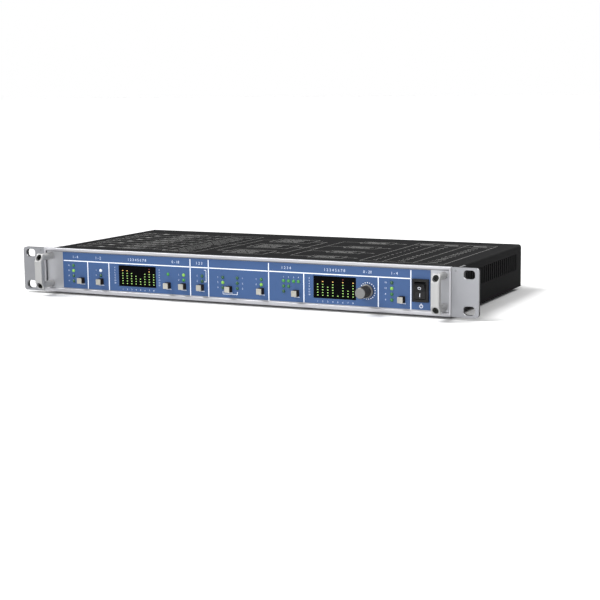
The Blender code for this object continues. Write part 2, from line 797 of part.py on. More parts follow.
def flange_steps(name, side):
    """What is cut from a bracket above and below its flange, which is lower than the ear."""
    bend = EAR_PLATE + FIT + EAR_BRACKET + EAR_BEND
    near = side * (CASE_HALF + FIT - EAR_BRACKET)
    far = side * (CASE_HALF + FIT + EAR_WIDTH + EAR_BRACKET)
    left = min(near, far)
    right = max(near, far)
    steps = Shape()
    for edge, level in ((-1, PANEL_MIDDLE - EAR_HEIGHT / 2), (1, PANEL_MIDDLE + EAR_HEIGHT / 2)):
        inner = level - edge * FLANGE_STEP
        outer = level + edge * FLANGE_STEP
        steps.box((left, bend, min(inner, outer)), (right, 2 * EAR_FLANGE, max(inner, outer)))
    return tool(f"flange_steps_{name}", steps)


def add_ears():
    slots = Shape()
    for x in (-RACK_SLOT_X, RACK_SLOT_X):
        for level in (-1, 1):
            z = PANEL_MIDDLE + level * RACK_SLOT_PITCH / 2
            slots.prism(rack_slot(x, z), "Y", -EAR_PLATE, EAR_PLATE + 3 * EAR_BRACKET)
    cutter = tool("rack_slots", slots)
    for name, side in (("left", -1), ("right", 1)):
        plate = part(f"ear_plate_{name}", Shape().prism(ear_outline(side), "Y", 0, EAR_PLATE), silver_paint)
        combine(plate, cutter, "DIFFERENCE")
        low = PANEL_MIDDLE - EAR_HEIGHT
        high = PANEL_MIDDLE + EAR_HEIGHT
        bent = Shape().prism(bracket_outline(side), "Z", low, high)
        bracket = part(f"ear_bracket_{name}", bent, black_paint)
        limit = tool(f"ear_limit_{name}", Shape().prism(ear_outline(side), "Y", 0, EAR_FLANGE + EAR_BRACKET))
        combine(bracket, limit, "INTERSECT")
        combine(bracket, cutter, "DIFFERENCE")
        combine(bracket, flange_steps(name, side), "DIFFERENCE")


def add_handles():
    bar_back = HANDLE_DEPTH - HANDLE_OUT
    low = PANEL_MIDDLE - HANDLE_HEIGHT / 2
    high = PANEL_MIDDLE + HANDLE_HEIGHT / 2
    outline = [
        (bar_back, low),
        (bar_back, high),
        (HANDLE_CHAMFER_DEPTH - HANDLE_OUT, high),
        (-HANDLE_OUT, high - HANDLE_CHAMFER),
        (-HANDLE_OUT, low + HANDLE_CHAMFER),
        (HANDLE_CHAMFER_DEPTH - HANDLE_OUT, low),
    ]
    for name, side in (("left", -1), ("right", 1)):
        x = side * HANDLE_X
        bar = Shape().prism(outline, "X", x - HANDLE_WIDTH / 2, x + HANDLE_WIDTH / 2)
        handle = part(f"handle_{name}", bar, silver_metal)
        round_edges(handle, HANDLE_EDGE)
        posts = Shape()
        bores = Shape()
        sinks = Shape()
        for post_side, _, post_x, z in handle_posts():
            if post_side != side:
                continue
            posts.rod((post_x, bar_back - HANDLE_DEPTH / 4, z), (post_x, FACE_Y - FIT, z), POST_DIAMETER)
            bores.rod((post_x, -HANDLE_OUT, z), (post_x, PANEL_BACK, z), SCREW_SHANK + 2 * FIT)
            sinks.rod((post_x, -2 * HANDLE_OUT, z), (post_x, screw_seat(), z), SCREW_BORE)
        combine(handle, tool(f"handle_posts_{name}", posts), "UNION")
        combine(handle, tool(f"handle_bores_{name}", bores), "DIFFERENCE")
        combine(handle, tool(f"handle_sinks_{name}", sinks), "DIFFERENCE")


def screw_seat():
    """How far in the shoulder under each handle screw's head lies."""
    return HANDLE_CHAMFER_DEPTH / 2 - HANDLE_OUT + SCREW_SINK + SCREW_HEAD_LENGTH


def add_handle_screws():
    levels = {-1: "lower", 1: "upper"}
    sides = {-1: "left", 1: "right"}
    for side, level, x, z in handle_posts():
        back = screw_seat() - FIT
        front = back - SCREW_HEAD_LENGTH
        head = Shape().rod((x, front, z), (x, back, z), SCREW_HEAD)
        screw = part(f"handle_screw_{sides[side]}_{levels[level]}", head, black_steel)
        shank = Shape().rod((x, back - SCREW_HEAD_LENGTH / 4, z), (x, PANEL_BACK, z), SCREW_SHANK)
        combine(screw, tool(f"{screw.name}_shank", shank), "UNION")
        key = Shape().rod((x, front - SCREW_HEAD, z), (x, front + SCREW_HEAD_LENGTH / 2, z), SCREW_SOCKET, 6)
        combine(screw, tool(f"{screw.name}_socket", key), "DIFFERENCE")


def button_back():
    """Where a front button ends, clear of its switch when it is pressed home."""
    return BOARD_FRONT - SWITCH_HEIGHT - FIT - BUTTON_TRAVEL


def add_front_buttons():
    front = OVERLAY_FRONT - BUTTON_OUT
    for number, x in enumerate(BUTTON_X, 1):
        cap = Shape().box(
            (x - BUTTON_WIDTH / 2, front, BUTTON_Z - BUTTON_HEIGHT / 2),
            (x + BUTTON_WIDTH / 2, button_back(), BUTTON_Z + BUTTON_HEIGHT / 2),
        )
        button = part(f"front_button_{number}", cap, pale_plastic)
        set_pivot(button, (x, front, BUTTON_Z))
        round_edges(button, BUTTON_EDGE, 1)


def add_front_board():
    sheet = Shape().box(
        (-FRONT_BOARD_LEFT, BOARD_FRONT, FRONT_BOARD_LOW), (FRONT_BOARD_RIGHT, BOARD_BACK, FRONT_BOARD_HIGH)
    )
    board = part("front_board", sheet, green_board)
    fused = BOARD_FRONT + BOARD_THICK / 2
    pieces = Shape()
    for x in BUTTON_X:
        half = SWITCH_SIZE / 2
        pieces.box(
            (x - half, BOARD_FRONT - SWITCH_HEIGHT, BUTTON_Z - half), (x + half, fused, BUTTON_Z + half)
        )
    for x, z in led_places():
        pieces.rod((x, OVERLAY_FRONT - LED_PROUD, z), (x, fused, z), LED_DIAMETER, LED_SIDES)
    for x in METER_X:
        half_width = METER_WIDTH / 2 - METER_BLOCK_MARGIN
        half_height = METER_HEIGHT / 2 - METER_BLOCK_MARGIN
        front = OVERLAY_FRONT + METER_PANE_SINK + METER_PANE + FIT
        pieces.box(
            (x - half_width, front, METER_Z - half_height), (x + half_width, fused, METER_Z + half_height)
        )
    half = RIBBON_WIDTH / 2
    pieces.box(
        (RIBBON_X - half, fused, ribbon_level() - HEADER_HEIGHT / 2),
        (RIBBON_X + half, BOARD_BACK + HEADER_DEPTH, ribbon_level() + HEADER_HEIGHT / 2),
    )
    combine(board, tool("front_board_pieces", pieces), "UNION")


def encoder_front():
    """The front of the encoder's body, which rests against the back of the panel."""
    return PANEL_BACK + FIT


def add_encoder():
    half = ENCODER_SIZE / 2
    front = encoder_front()
    back = BOARD_FRONT - FIT
    tip = OVERLAY_FRONT - BUSHING_PROUD
    block = Shape().box((KNOB_X - half, front, KNOB_Z - half), (KNOB_X + half, back, KNOB_Z + half))
    body = part("encoder_body", block, black_steel)
    bushing = Shape().rod(
        (KNOB_X, tip, KNOB_Z), (KNOB_X, front + SHEET, KNOB_Z), BUSHING_DIAMETER, SMALL_SIDES
    )
    combine(body, tool("encoder_bushing", bushing), "UNION")
    well_front = back - ENCODER_BACK_OPEN
    well = Shape().rod(
        (KNOB_X, well_front, KNOB_Z), (KNOB_X, back + SHEET, KNOB_Z), ROTOR_DIAMETER + 2 * FIT, SMALL_SIDES
    )
    combine(body, tool("encoder_well", well), "DIFFERENCE")
    bore = Shape().rod(
        (KNOB_X, tip - SHEET, KNOB_Z), (KNOB_X, back, KNOB_Z), SHAFT_DIAMETER + 2 * FIT, SMALL_SIDES
    )
    combine(body, tool("encoder_bore", bore), "DIFFERENCE")

    rotor_front = well_front + FIT
    disc = Shape().rod(
        (KNOB_X, rotor_front, KNOB_Z), (KNOB_X, rotor_front + ROTOR_THICK, KNOB_Z), ROTOR_DIAMETER
    )
    rotor = part("encoder_rotor", disc, pale_plastic)
    grip = SHAFT_SQUARE / 2 + FIT
    slot = Shape().box(
        (KNOB_X - grip, rotor_front - SHEET, KNOB_Z - grip),
        (KNOB_X + grip, rotor_front + ROTOR_THICK + SHEET, KNOB_Z + grip),
    )
    combine(rotor, tool("rotor_slot", slot), "DIFFERENCE")
    set_pivot(rotor, (KNOB_X, rotor_front, KNOB_Z))

    knob_back = tip - FIT - KNOB_TRAVEL
    step = rotor_front - FIT - KNOB_TRAVEL
    rod = Shape().rod((KNOB_X, knob_back - SHAFT_IN_KNOB, KNOB_Z), (KNOB_X, step, KNOB_Z), SHAFT_DIAMETER)
    shaft = part("encoder_shaft", rod, bright_steel)
    key = SHAFT_SQUARE / 2
    square = Shape().box(
        (KNOB_X - key, step - SHEET, KNOB_Z - key), (KNOB_X + key, step + SHAFT_SQUARE_LENGTH, KNOB_Z + key)
    )
    combine(shaft, tool("shaft_square", square), "UNION")
    set_pivot(shaft, (KNOB_X, step, KNOB_Z))
    add_knob(knob_back)


def add_knob(back):
    """The knob's profile runs from the middle of its front face round to the bottom of its shaft hole."""
    hole = SHAFT_DIAMETER / 2 + FIT
    profile = [
        (0, KNOB_LENGTH),
        (KNOB_DIAMETER / 2 - KNOB_EDGE, KNOB_LENGTH),
        (KNOB_DIAMETER / 2, KNOB_LENGTH - KNOB_EDGE),
        (KNOB_DIAMETER / 2, KNOB_SKIRT_LENGTH),
        (KNOB_SKIRT / 2, KNOB_SKIRT_LENGTH / 2),
        (KNOB_SKIRT / 2, 0),
        (hole, 0),
        (hole, SHAFT_IN_KNOB + FIT),
        (0, SHAFT_IN_KNOB + FIT),
    ]
    knob = turned("encoder_knob", profile, parts)
    knob.data.materials.append(dark_plastic)
    knob.rotation_euler = (math.pi / 2, 0, 0)
    knob.location = (KNOB_X, back, KNOB_Z)


def housing_neck(grow):
    """The switch housing's part behind its bezel, as low and high (x, z)."""
    half_width = ROCKER_WIDTH / 2 + FIT + HOUSING_WALL + grow
    half_height = ROCKER_HEIGHT / 2 + ROCKER_CLEARANCE + HOUSING_WALL + grow
    return (
        (ROCKER_X - half_width, ROCKER_Z - half_height),
        (ROCKER_X + half_width, ROCKER_Z + half_height),
    )


def bezel_front():
    return OVERLAY_FRONT - FIT - BEZEL_OUT


def add_power_switch():
    front = bezel_front()
    bezel = Shape().box(
        (ROCKER_X - BEZEL_WIDTH / 2, front, ROCKER_Z - BEZEL_HEIGHT / 2),
        (ROCKER_X + BEZEL_WIDTH / 2, OVERLAY_FRONT - FIT, ROCKER_Z + BEZEL_HEIGHT / 2),
    )
    housing = part("power_switch_housing", bezel, black_plastic)
    low, high = housing_neck(0)
    neck = Shape().box((low[0], front + BEZEL_OUT / 2, low[1]), (high[0], front + HOUSING_DEPTH, high[1]))
    combine(housing, tool("switch_neck", neck), "UNION")
    half_width = ROCKER_WIDTH / 2 + FIT
    half_height = ROCKER_HEIGHT / 2 + ROCKER_CLEARANCE
    well = Shape().box(
        (ROCKER_X - half_width, front - BEZEL_OUT, ROCKER_Z - half_height),
        (ROCKER_X + half_width, front + HOUSING_WELL, ROCKER_Z + half_height),
    )
    combine(housing, tool("switch_well", well), "DIFFERENCE")


def rocker_outline():
    """The rocker's side, as (y, z) about its pivot: two ramps in front, and ends that clear the well."""
    half = ROCKER_HEIGHT / 2
    middle = -ROCKER_PIVOT_DEPTH
    tip = middle - ROCKER_RISE
    swing = math.sin(ROCKER_TILT)
    tip_z = half + tip * swing
    waist_z = half + middle / 2 * swing
    return [
        (middle, 0),
        (tip, tip_z),
        (middle / 2, waist_z),
        (0, half),
        (-middle / 2, waist_z),
        (-middle, half / 2),
        (-middle, -half / 2),
        (-middle / 2, -waist_z),
        (0, -half),
        (middle / 2, -waist_z),
        (tip, -tip_z),
    ]


def add_rocker():
    pivot_y = bezel_front() + ROCKER_PIVOT_DEPTH
    half = ROCKER_WIDTH / 2
    rocker = part("power_rocker", Shape().prism(rocker_outline(), "X", -half, half), black_plastic)
    rocker.location = (ROCKER_X, pivot_y, ROCKER_Z)
    rocker.rotation_euler = (ROCKER_TILT, 0, 0)


def jack_blocks():
    """The low and high corners of the two jack blocks, whose faces lie level with the panel."""
    blocks = []
    for left, right in ((OUTPUT_JACK_X, OUTPUT_JACK_END), (INPUT_JACK_END, INPUT_JACK_X)):
        low = Vector((left - JACK_BODY / 2, BEHIND_PANEL - JACK_BLOCK_DEPTH, MAIN_TOP + FIT))
        high = Vector((right + JACK_BODY / 2, REAR_FACE, JACK_BLOCK_TOP))
        blocks.append((low, high))
    return blocks


def optical_blocks():
    """The low and high corners of the two optical housings, whose faces lie level with the panel."""
    blocks = []
    half = OPTICAL_BODY_HEIGHT / 2
    for pair in OPTICAL_PAIRS:
        low = Vector((min(pair) - OPTICAL_HALF, BEHIND_PANEL - OPTICAL_BODY_DEPTH, OPTICAL_Z - half))
        high = Vector((max(pair) + OPTICAL_HALF, REAR_FACE, OPTICAL_Z + half))
        blocks.append((low, high))
    return blocks


def rear_openings():
    """The cut-outs in the rear panel, each the size of what passes through it and a clearance."""
    holes = Shape()
    inside = REAR_INSIDE - REAR_SHEET
    outside = REAR_FACE + REAR_SHEET

    def round_hole(x, z, diameter, sides=ROUND_SIDES):
        holes.rod((x, inside, z), (x, outside, z), diameter + 2 * FIT, sides)

    def square_hole(x, z, width, height):
        half_width = width / 2 + FIT
        half_height = height / 2 + FIT
        holes.box((x - half_width, inside, z - half_height), (x + half_width, outside, z + half_height))

    for low, high in jack_blocks() + optical_blocks():
        holes.box((low.x - FIT, inside, low.z - FIT), (high.x + FIT, outside, high.z + FIT))
    for x in MIDI_X:
        round_hole(x, MIDI_Z, MIDI_DIAMETER)
    round_hole(REMOTE_X, REMOTE_Z, REMOTE_DIAMETER)
    for x in BNC_X:
        round_hole(x, BNC_Z, BNC_NECK)
    for _, x, z in DSUB_PLACES:
        holes.prism(dsub_outline(x, z, FIT), "Y", inside, outside)
        for side in (-1, 1):
            round_hole(x + side * DSUB_POST_PITCH / 2, z, DSUB_POST_DIAMETER, SMALL_SIDES)
    square_hole(INLET_X, INLET_Z, INLET_NECK_WIDTH, INLET_NECK_HEIGHT)
    square_hole(TERM_X, TERM_Z, TERM_WIDTH, TERM_HEIGHT)
    holes.box(
        (PLATE_LEFT + SLOT_MARGIN_X, inside, PLATE_LOW + SLOT_MARGIN_Z),
        (PLATE_RIGHT - SLOT_MARGIN_X, outside, PLATE_HIGH - SLOT_MARGIN_Z),
    )
    return tool("rear_openings", holes)


def add_rear_panel():
    low = TRAY_TOP + FIT
    high = CASE_TOP - SHEET - REAR_TOP_GAP
    half = COVER_INSIDE - REAR_SIDE_GAP
    flange = REAR_INSIDE - REAR_FLANGE
    outline = [
        (flange, low),
        (REAR_FACE, low),
        (REAR_FACE, high),
        (flange, high),
        (flange, high - SHEET),
        (REAR_INSIDE, high - SHEET),
        (REAR_INSIDE, low + SHEET),
        (flange, low + SHEET),
    ]
    panel = part("rear_panel", Shape().prism(outline, "X", -half, half), grey_paint)
    combine(panel, rear_openings(), "DIFFERENCE")


def add_jack_strip(name, corners, places):
    """Eight jacks in one moulded block, which fills its window in the panel."""
    strip = part(name, Shape().box(*corners), black_plastic)
    collars = Shape()
    washers = Shape()
    bores = Shape()
    end = REAR_FACE + JACK_OUT
    washer_back = REAR_FACE + FIT
    for x in places:
        collars.rod((x, REAR_FACE - SHEET, JACK_Z), (x, end, JACK_Z), JACK_COLLAR, JACK_SIDES)
        washer_end = (x, washer_back + JACK_WASHER_THICK, JACK_Z)
        washers.rod((x, washer_back, JACK_Z), washer_end, JACK_WASHER, JACK_SIDES)
        bores.rod((x, end - JACK_BORE_DEPTH, JACK_Z), (x, end + SHEET, JACK_Z), JACK_BORE, JACK_SIDES)
    combine(strip, tool(f"{name}_collars", collars), "UNION")
    combine(strip, tool(f"{name}_washers", washers), "UNION")
    combine(strip, tool(f"{name}_bores", bores), "DIFFERENCE")


def add_inlet():
    end = REAR_FACE + INLET_OUT
    half_width = INLET_WIDTH / 2
    half_height = INLET_HEIGHT / 2
    block = Shape().box(
        (INLET_X - half_width, REAR_FACE + FIT, INLET_Z - half_height),
        (INLET_X + half_width, end, INLET_Z + half_height),
    )
    inlet = part("mains_inlet", block, black_plastic)
    neck = Shape().box(
        (INLET_X - INLET_NECK_WIDTH / 2, REAR_FACE - INLET_NECK_DEPTH, INLET_Z - INLET_NECK_HEIGHT / 2),
        (INLET_X + INLET_NECK_WIDTH / 2, REAR_FACE + INLET_OUT / 4, INLET_Z + INLET_NECK_HEIGHT / 2),
    )
    combine(inlet, tool("inlet_neck", neck), "UNION")
    left = INLET_X - INLET_HOLE_WIDTH / 2
    right = INLET_X + INLET_HOLE_WIDTH / 2
    low = INLET_Z - INLET_HOLE_HEIGHT / 2
    high = INLET_Z + INLET_HOLE_HEIGHT / 2
    cut = INLET_HOLE_CHAMFER
    outline = [(left, low), (right, low), (right, high - cut), (right - cut, high)]
    outline += [(left + cut, high), (left, high - cut)]
    floor = end - INLET_HOLE_DEPTH
    combine(inlet, tool("inlet_recess", Shape().prism(outline, "Y", floor, end + SHEET)), "DIFFERENCE")
    pins = Shape()
    for x, z in (
        (INLET_X, INLET_Z + INLET_EARTH_RISE),
        (INLET_X - INLET_PIN_SPACING, INLET_Z - INLET_LIVE_DROP),
        (INLET_X + INLET_PIN_SPACING, INLET_Z - INLET_LIVE_DROP),
    ):
        pins.box(
            (x - INLET_PIN_THICK / 2, floor - SHEET, z - INLET_PIN_HEIGHT / 2),
            (x + INLET_PIN_THICK / 2, floor + INLET_PIN_LENGTH, z + INLET_PIN_HEIGHT / 2),
        )
    combine(inlet, tool("inlet_pins", pins), "UNION")


def add_round_sockets():
    """The two five-pole sockets in one block, and the small remote socket."""
    front = REAR_FACE + SOCKET_PROUD
    for name, places, z, body, face in (
        ("midi_sockets", MIDI_X, MIDI_Z, MIDI_BODY, MIDI_DIAMETER),
        ("remote_socket", (REMOTE_X,), REMOTE_Z, REMOTE_BODY, REMOTE_DIAMETER),
    ):
        half = body / 2
        block = Shape().box(
            (min(places) - half, BEHIND_PANEL - SOCKET_DEPTH, z - half),
            (max(places) + half, BEHIND_PANEL, z + half),
        )
        socket = part(name, block, black_plastic)
        faces = Shape()
        for x in places:
            faces.rod((x, BEHIND_PANEL - SHEET, z), (x, front, z), face, ROUND_SIDES)
        combine(socket, tool(f"{name}_faces", faces), "UNION")


def add_bnc_sockets():
    profile = [
        (0, BNC_OUT - BNC_CORE_SINK),
        (BNC_CORE / 2, BNC_OUT - BNC_CORE_SINK),
        (BNC_CORE / 2, BNC_OUT - BNC_BORE_DEPTH),
        (BNC_BORE / 2, BNC_OUT - BNC_BORE_DEPTH),
        (BNC_BORE / 2, BNC_OUT),
        (BNC_BARREL / 2, BNC_OUT),
        (BNC_BARREL / 2, BNC_NUT_LENGTH + BNC_NECK_LENGTH),
        (BNC_NECK / 2, BNC_NUT_LENGTH + BNC_NECK_LENGTH),
        (BNC_NECK / 2, BNC_NUT_LENGTH),
        (BNC_NUT / 2, BNC_NUT_LENGTH),
        (BNC_NUT / 2, FIT),
        (BNC_NECK / 2, FIT),
        (BNC_NECK / 2, BEHIND_PANEL - REAR_FACE - SHEET),
        (0, BEHIND_PANEL - REAR_FACE - SHEET),
    ]
    for name, x in zip(("bnc_output", "bnc_input"), BNC_X):
        socket = turned(name, profile, parts)
        socket.data.materials.append(nickel)
        socket.rotation_euler = (-math.pi / 2, 0, 0)
        socket.location = (x, REAR_FACE, BNC_Z)
        half = BNC_BODY / 2
        body = Shape().box(
            (x - half, BEHIND_PANEL - BNC_BODY_DEPTH, BNC_Z - half), (x + half, BEHIND_PANEL, BNC_Z + half)
        )
        combine(socket, tool(f"{name}_body", body), "UNION")


def optical_cavity(x):
    """The low and high corners of one optical socket's opening."""
    half = OPTICAL_SIZE / 2 - OPTICAL_WALL
    front = REAR_FACE + OPTICAL_OUT
    return (
        Vector((x - half, front - OPTICAL_CAVITY, OPTICAL_Z - half)),
        Vector((x + half, front, OPTICAL_Z + half)),
    )


def add_optical_sockets():
    number = 0
    names = ("optical_outputs", "optical_inputs")
    for name, pair, corners in zip(names, OPTICAL_PAIRS, optical_blocks()):
        body = part(name, Shape().box(*corners), black_plastic)
        noses = Shape()
        cavities = Shape()
        for x in pair:
            half = OPTICAL_SIZE / 2
            noses.box(
                (x - half, REAR_FACE - SHEET, OPTICAL_Z - half),
                (x + half, REAR_FACE + OPTICAL_OUT, OPTICAL_Z + half),
            )
            low, high = optical_cavity(x)
            cavities.box(low, high + Vector((0, SHEET, 0)))
        combine(body, tool(f"{name}_noses", noses), "UNION")
        combine(body, tool(f"{name}_cavities", cavities), "DIFFERENCE")
        for x in pair:
            number += 1
            add_shutter(number, x)


def add_shutter(number, x):
    """A flap that closes an optical socket and swings inwards about its upper edge."""
    low, high = optical_cavity(x)
    corner = math.hypot(SHUTTER_TOP, SHUTTER_THICK / 2)
    pivot = Vector((x, high.y - SHUTTER_SINK - SHUTTER_THICK / 2, high.z - SHUTTER_SWEEP_GAP - corner))
    flap = Shape().box(
        (low.x + FIT, pivot.y - SHUTTER_THICK / 2, low.z + FIT),
        (high.x - FIT, pivot.y + SHUTTER_THICK / 2, pivot.z + SHUTTER_TOP),
    )
    set_pivot(part(f"optical_shutter_{number}", flap, black_plastic), pivot)


def dsub_outline(x, z, grow):
    """The 25-pole shell: wider at its top, with round corners, grown outwards by a clearance."""
    half_height = DSUB_SHELL_HEIGHT / 2 + grow
    lean = DSUB_SHELL_HEIGHT * math.tan(DSUB_SLANT) / 2
    top = DSUB_SHELL_WIDTH / 2 + grow
    base = top - 2 * lean
    corner = DSUB_CORNER + grow
    turn = math.degrees(DSUB_SLANT)
    upper = (top - corner, half_height - corner)
    lower = (base - corner + lean / 4, corner - half_height)
    right = arc(lower, corner, -90, -turn, 2) + arc(upper, corner, -turn, 90, 3)
    left = [(-u, v) for u, v in right[::-1]]
    return [(x + u, z + v) for u, v in right + left]


def add_dsub_sockets():
    for name, x, z in DSUB_PLACES:
        half_width = DSUB_BODY_WIDTH / 2
        half_height = DSUB_BODY_HEIGHT / 2
        block = Shape().box(
            (x - half_width, BEHIND_PANEL - DSUB_BODY_DEPTH, z - half_height),
            (x + half_width, BEHIND_PANEL, z + half_height),
        )
        socket = part(name, block, nickel)
        outside = Shape().prism(dsub_outline(x, z, 0), "Y", BEHIND_PANEL - SHEET, REAR_FACE + DSUB_OUT)
        for side in (-1, 1):
            post_x = x + side * DSUB_POST_PITCH / 2
            tip = (post_x, REAR_FACE + DSUB_POST_OUT, z)
            outside.rod((post_x, BEHIND_PANEL - SHEET, z), tip, DSUB_POST_DIAMETER, 6)
        combine(socket, tool(f"{name}_outside", outside), "UNION")


def add_term_button():
    half_width = TERM_WIDTH / 2
    half_height = TERM_HEIGHT / 2
    end = REAR_FACE + TERM_OUT
    cap = Shape().box(
        (TERM_X - half_width, end - TERM_LENGTH, TERM_Z - half_height),
        (TERM_X + half_width, end, TERM_Z + half_height),
    )
    button = part("termination_button", cap, ivory_plastic)
    set_pivot(button, (TERM_X, end, TERM_Z))
    round_edges(button, BUTTON_EDGE, 1)


def add_slot_cover():
    plate = Shape().box(
        (PLATE_LEFT, REAR_FACE + FIT, PLATE_LOW), (PLATE_RIGHT, REAR_FACE + FIT + PLATE_THICK, PLATE_HIGH)
    )
    part("slot_cover", plate, grey_paint)


def add_main_board():
    rear = REAR_INSIDE - MAIN_BOARD_REAR_GAP
    sheet = Shape().box((-MAIN_BOARD_LEFT, MAIN_BOARD_FRONT, MAIN_BASE), (MAIN_BOARD_RIGHT, rear, MAIN_TOP))
    board = part("main_board", sheet, green_board)
    fused = MAIN_BASE + BOARD_THICK / 2
    pieces = Shape()
    chip_end = MAIN_BOARD_RIGHT - CHIP_MARGIN
    for x in spaced(-chip_end, chip_end, CHIP_COUNT):
        pieces.box(
            (x - CHIP_SIZE / 2, CHIP_ROW, fused),
            (x + CHIP_SIZE / 2, CHIP_ROW + CHIP_SIZE, MAIN_TOP + CHIP_HEIGHT),
        )
    capacitor_end = MAIN_BOARD_RIGHT - CAPACITOR_MARGIN
    for x in spaced(-capacitor_end, capacitor_end, CAPACITOR_COUNT):
        top = (x, CAPACITOR_ROW, MAIN_TOP + CAPACITOR_HEIGHT)
        pieces.rod((x, CAPACITOR_ROW, fused), top, CAPACITOR_DIAMETER, LED_SIDES)
    half = RIBBON_WIDTH / 2
    drop = ribbon_drop()
    pieces.box(
        (RIBBON_X - half, drop - HEADER_DEPTH, fused),
        (RIBBON_X + half, drop + HEADER_DEPTH, MAIN_TOP + HEADER_HEIGHT),
    )
    combine(board, tool("main_board_pieces", pieces), "UNION")


def add_digital_board():
    """The second board, under the upper socket row, on pillars from the main board."""
    rear = BEHIND_PANEL - DIGITAL_REAR_GAP
    front = rear - DIGITAL_DEPTH
    base = DIGITAL_BOARD_TOP - BOARD_THICK
    sheet = Shape().box((-DIGITAL_LEFT, front, base), (DIGITAL_RIGHT, rear, DIGITAL_BOARD_TOP))
    board = part("digital_board", sheet, green_board)
    pieces = Shape()
    fused = base + BOARD_THICK / 2
    pillar_y = front + PILLAR_DIAMETER
    middle = (DIGITAL_RIGHT - DIGITAL_LEFT) / 2
    for x in (PILLAR_DIAMETER - DIGITAL_LEFT, middle, DIGITAL_RIGHT - PILLAR_DIAMETER):
        pieces.rod((x, pillar_y, MAIN_TOP + FIT), (x, pillar_y, fused), PILLAR_DIAMETER)
    back = REAR_FACE + TERM_OUT - TERM_LENGTH - FIT - TERM_TRAVEL
    half = TERM_HEIGHT / 2
    pieces.box((TERM_X - half, back - TERM_SWITCH_DEPTH, fused), (TERM_X + half, back, TERM_Z + half))
    combine(board, tool("digital_board_pieces", pieces), "UNION")


def add_power_supply():
    rear = REAR_INSIDE - SUPPLY_REAR_GAP
    sheet = Shape().box((SUPPLY_LEFT, SUPPLY_FRONT, MAIN_BASE), (SUPPLY_RIGHT, rear, MAIN_TOP))
    supply = part("power_supply", sheet, green_board)
    fused = MAIN_BASE + BOARD_THICK / 2
    pieces = Shape()
    middle = (SUPPLY_LEFT + SUPPLY_RIGHT) / 2
    half = TRANSFORMER_SIZE / 2
    y = (SUPPLY_FRONT + rear) / 2
    pieces.box((middle - half, y - half, fused), (middle + half, y + half, MAIN_TOP + TRANSFORMER_HEIGHT))
    sink_x = SUPPLY_LEFT + HEAT_SINK_INSET
    sink_y = SUPPLY_FRONT + HEAT_SINK_INSET
    pieces.box(
        (sink_x, sink_y, fused),
        (sink_x + HEAT_SINK_THICK, sink_y + HEAT_SINK_LENGTH, MAIN_TOP + HEAT_SINK_HEIGHT),
    )
    store_y = rear - STORE_INSET
    for side in (-1, 1):
        x = middle + side * STORE_SPACING / 2
        pieces.rod((x, store_y, fused), (x, store_y, MAIN_TOP + STORE_HEIGHT), STORE_DIAMETER)
    combine(supply, tool("power_supply_pieces", pieces), "UNION")


def ribbon_level():
    """The height at which the ribbon leaves the front board."""
    return MAIN_TOP + HEADER_HEIGHT + FIT + RIBBON_BEND


def ribbon_drop():
    """How far back the ribbon comes down onto its header."""
    return BOARD_BACK + HEADER_DEPTH + FIT + RIBBON_RUN + RIBBON_BEND


def add_ribbon_cable():
    """A flat cable: straight out of the front board, then bent down to the main board's header."""
    start = BOARD_BACK + HEADER_DEPTH + FIT
    centre = (start + RIBBON_RUN, MAIN_TOP + HEADER_HEIGHT + FIT)
    outer = RIBBON_BEND + RIBBON_THICK / 2
    inner = RIBBON_BEND - RIBBON_THICK / 2
    outline = [(start, centre[1] + inner), (start, centre[1] + outer)]
    outline += arc(centre, outer, 90, 0)
    outline += arc(centre, inner, 0, 90)
    half = RIBBON_WIDTH / 2
    part("ribbon_cable", Shape().prism(outline, "X", RIBBON_X - half, RIBBON_X + half), grey_plastic)


def add_mains_wiring():
    """A sleeve of wires from the back of the inlet, along the side wall, to the back of the switch."""
    start = REAR_FACE - INLET_NECK_DEPTH - FIT
    end = bezel_front() + HOUSING_DEPTH + FIT
    route = [(INLET_X, start), (INLET_X, start - WIRE_DIAMETER)]
    route += [(WIRE_X, start - WIRE_DIAMETER - 2 * WIRE_BEND), (WIRE_X, end + WIRE_DIAMETER + 2 * WIRE_BEND)]
    route += [(ROCKER_X, end + WIRE_DIAMETER), (ROCKER_X, end)]
    curve = bpy.data.curves.new("mains_wiring", "CURVE")
    curve.dimensions = "3D"
    curve.bevel_depth = WIRE_DIAMETER / 2
    curve.bevel_resolution = 2
    curve.use_fill_caps = True
    spline = curve.splines.new("POLY")
    spline.points.add(len(route) - 1)
    for point, (x, y) in zip(spline.points, route):
        point.co = (x, y, WIRE_Z, 1)
    wiring = bpy.data.objects.new("mains_wiring", curve)
    parts.objects.link(wiring)
    wiring.parent = rack_frame
    curve.materials.append(grey_plastic)


rack_frame = start_scene()
parts = bpy.data.collections["rack_audio_interface"]
tools = bpy.data.collections["cutters"]

silver_paint = finish("silver_paint", (0.62, 0.63, 0.65), 0.42, 0.6)
silver_metal = finish("silver_metal", (0.70, 0.70, 0.71), 0.32, 0.9)
bright_steel = finish("bright_steel", (0.66, 0.66, 0.66), 0.25, 1.0)
nickel = finish("nickel", (0.72, 0.71, 0.68), 0.25, 1.0)
black_steel = finish("black_steel", (0.02, 0.02, 0.02), 0.4, 0.6)
black_paint = finish("black_paint", (0.014, 0.014, 0.015), 0.5)
grey_paint = finish("grey_paint", (0.035, 0.036, 0.038), 0.55)
blue_print = finish("blue_print", (0.12, 0.19, 0.40), 0.45)
dark_lens = finish("dark_lens", (0.006, 0.010, 0.010), 0.12)
pale_plastic = finish("pale_plastic", (0.58, 0.57, 0.52), 0.4)
ivory_plastic = finish("ivory_plastic", (0.55, 0.53, 0.34), 0.4)
grey_plastic = finish("grey_plastic", (0.25, 0.25, 0.26), 0.5)
dark_plastic = finish("dark_plastic", (0.03, 0.03, 0.03), 0.45)
